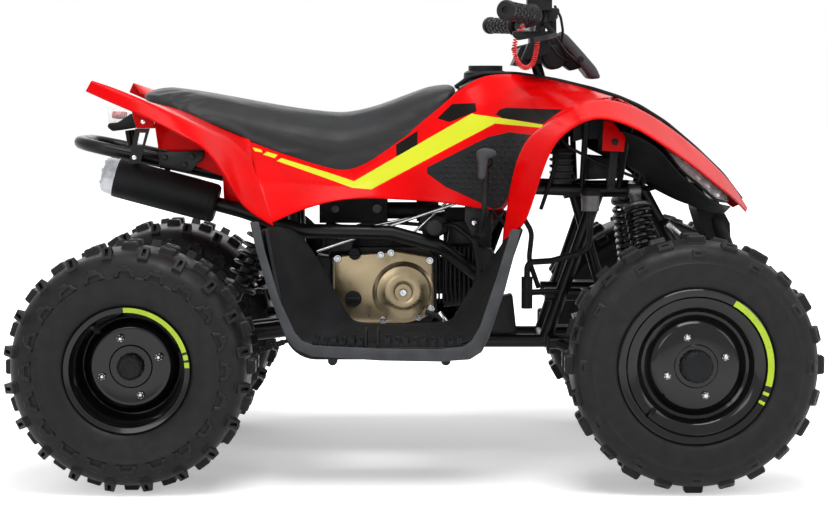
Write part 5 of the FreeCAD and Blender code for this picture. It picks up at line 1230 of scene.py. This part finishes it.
# Shifter handle and the small parts between the engine and the covers
bayParts = {
    "shift_handle": {"surface": "scuffed", "sharp": 45, "shapes": [
        (sidePrism, [(118, 618), (131, 624), (150, 621), (157, 614), (154, 606), (139, 604), (138, 590), (134, 566),
            (126, 562), (120, 567), (121, 596), (117, 606)], -284, -266, 5)]},
    "bay_parts": {"surface": "casting", "shapes": [
        (sidePrism, [(101, 536), (140, 536), (144, 494), (132, 459), (113, 451), (97, 482)], -176, -150, 3),
        (sidePrism, [(13, 487), (36, 491), (63, 487), (67, 456), (44, 444), (17, 452)], -122, -84, 4),
        *((pin, x, z, -184, -150, size) for x, z, size in (
            (120, 512, 11), (116, 478, 8), (40, 468, 15), (-70, 505, 9), (-150, 505, 8))),
        *((sidePrism, [(x, 330), (x + 4, 330), (x + 4, 425), (x, 425)], -76, -52, 1) for x in range(62, 117, 9)),
        (sidePrism, [(66, 430), (118, 430), (112, 478), (72, 474)], -90, -40, 4),
        (sidePrism, [(120, 330), (150, 336), (156, 420), (122, 428)], -100, -50, 4),
        (sidePrism, [(-178, 418), (-120, 418), (-112, 462), (-172, 474)], -120, -60, 4),
        (sidePrism, [(-196, 300), (-160, 296), (-160, 404), (-190, 410)], -96, -40, 4),
        (sidePrism, [(150, 250), (205, 250), (196, 330), (160, 322)], -70, -30, 4),
        (sidePrism, [(58, 300), (150, 310), (158, 500), (60, 500)], -34, -22, 4),
        (sidePrism, [(-170, 402), (52, 402), (52, 446), (-150, 450)], -62, -44, 4),
        (sidePrism, [(271, 548), (310, 548), (308, 621), (274, 619)], -100, -62, 3),
        (sidePrism, [(336, 556), (414, 560), (404, 600), (340, 606)], -82, -42, 4),
        *((sidePrism, [(268, z), (313, z), (313, z + 5), (268, z + 5)], -104, -60, 1) for z in range(555, 608, 13))]},
    "bay_hoses": {"surface": "rubber", "shapes": [(tubeInto, route, size, 30, 5) for route, size in (
        ([(40, -110, 470), (80, -130, 470), (118, -140, 440), (128, -130, 380), (110, -120, 320)], 5),
        ([(-150, -128, 440), (-110, -130, 470), (-40, -130, 476), (20, -120, 470)], 4),
        ([(150, -120, 500), (180, -120, 470), (176, -110, 420), (150, -100, 380)], 4),
        ([(205, -90, 500), (232, -100, 455), (226, -100, 400), (246, -90, 345)], 5),
        ([(24, -126, 300), (52, -134, 292), (62, -134, 262), (78, -130, 250)], 5),
        ([(278, -130, 650), (300, -140, 622), (369, -140, 586), (434, -120, 562)], 3),
        ([(300, -80, 560), (330, -90, 540), (352, -90, 500), (340, -100, 470)], 4),
        ([(262, -100, 640), (280, -110, 600), (262, -110, 540), (250, -90, 500)], 4))]},
    "bay_links": {"surface": "zinc", "shapes": [
        (roundRod, (-187, -150, 421), (88, -150, 516), 3.2, 12),
        (roundRod, (-160, -140, 452), (60, -146, 500), 2.4, 12),
        (roundRod, (-20, -120, 436), (70, -130, 520), 2.6, 12),
        (roundRod, (50, -130, 300), (64, -134, 280), 6.5, 12, 1),
        (pin, 120, 512, -188, -180, 5, 6, 1), (pin, 116, 478, -188, -180, 5, 6, 1)]},
}

makeParts(bayParts)
print("engine bay made")


# CAD pieces that stay, each with its finish
nodeFinishes = {
    "powderCoatedSteel": ["frame", "front_arms", "swingarm", "grab_bar", "handlebar", "steering_stem", "exhaust_pipe"],
    "mattPolypropylene": ["footwells", "airbox", "fuel_cap", "handlebar_cover", "levers", "front_bumper"],
    "blackCasting": ["engine", "cylinder", "carburettor", "knuckle_right", "knuckle_left"],
    "oiledSteel": ["rear_axle", "tie_rod_right", "tie_rod_left", "drive_chain"],
    "softRubber": ["brake_hose", "shifter"], "milkyCup": ["brake_reservoir"],
}

for label, names in nodeFinishes.items():
    for name in names:
        nodes[name].data.materials.clear()
        nodes[name].data.materials.append(materials[label])
print("CAD pieces dressed")


# Studio: pale floor, white surroundings for the camera and for gloss, soft lamps. The floor glows less near the quad,
# which paints a shade around and under it. Places are in metres
studio = {"floor": 14.0, "tones": ("ECECEC", "F5F5F5"), "worldLight": 0.5,
          "floorGlow": (0.34, 1.0), "paintedShadeReach": (0.5, 1.35),
          "lamps": [("overhead", (0.2, -1.1, 3.0), (0, 0, 0.3), 1.5, 60),
                    ("sideFill", (-1.6, -4.2, 1.8), (0, 0, 0.4), 1.5, 28),
                    ("frontFill", (3.4, -2.2, 2.0), (0.2, 0, 0.4), 1.8, 24),
                    ("backFill", (-1.0, 3.6, 2.4), (0, 0, 0.4), 2.4, 30)]}


def seenShare(tree):
    seen = addNode(tree, "LightPath", {}, "Is Camera Ray")
    for ray in ("Is Glossy Ray", "Is Transmission Ray"):
        seen = addNode(tree, "Math", {0: seen, 1: addNode(tree, "LightPath", {}, ray)}, operation="MAXIMUM")
    return seen


def setStudio():
    scene.world = bpy.data.worlds.new("studio")
    scene.world.use_nodes = True
    tree = scene.world.node_tree
    strength = addNode(tree, "MapRange", {0: seenShare(tree), 1: 0, 2: 1, 3: studio["worldLight"], 4: 1})
    setSockets(tree, tree.nodes["Background"], {"Color": (1, 1, 1, 1), "Strength": strength})
    bm = bmesh.new()
    bmesh.ops.create_grid(bm, x_segments=1, y_segments=1, size=studio["floor"])
    mesh = bpy.data.meshes.new("floor")
    bm.to_mesh(mesh)
    bm.free()
    floor = addObject("floor", mesh)
    tree, shader, place = newMaterial("paleFloor")
    cloud = addNode(tree, "TexNoise", {"Vector": place, "Scale": 1.5})
    tones = [linear(tone) for tone in studio["tones"]]
    colour = addNode(tree, "Mix", {0: cloud, 6: tones[0], 7: tones[1]}, 2, data_type="RGBA")
    # the glow falls off towards the quad, so the floor near it is darker: a painted shade around and under the quad
    away = addNode(tree, "VectorMath", {0: place}, "Value", operation="LENGTH")
    ends = (*studio["paintedShadeReach"], *studio["floorGlow"])
    glow = addNode(tree, "MapRange", {0: away, **dict(enumerate(ends, 1))})
    glow = addNode(tree, "Math", {0: seenShare(tree), 1: glow}, operation="MULTIPLY")
    setSockets(tree, shader, {"Base Color": colour, "Roughness": 0.9, "Specular IOR Level": 0,
                              "Emission Color": (1, 1, 1, 1), "Emission Strength": glow})
    floor.data.materials.append(materials["paleFloor"])
    for name, spot, aim, size, power in studio["lamps"]:
        lamp = bpy.data.lights.new(name, "AREA")
        lamp.size = size
        lamp.energy = power
        holder = addObject(name, lamp)
        holder.location = spot
        holder.rotation_euler = (Vector(aim) - Vector(spot)).to_track_quat("-Z", "Y").to_euler()


setStudio()
scene.view_settings.view_transform = "Standard"
print("studio set")
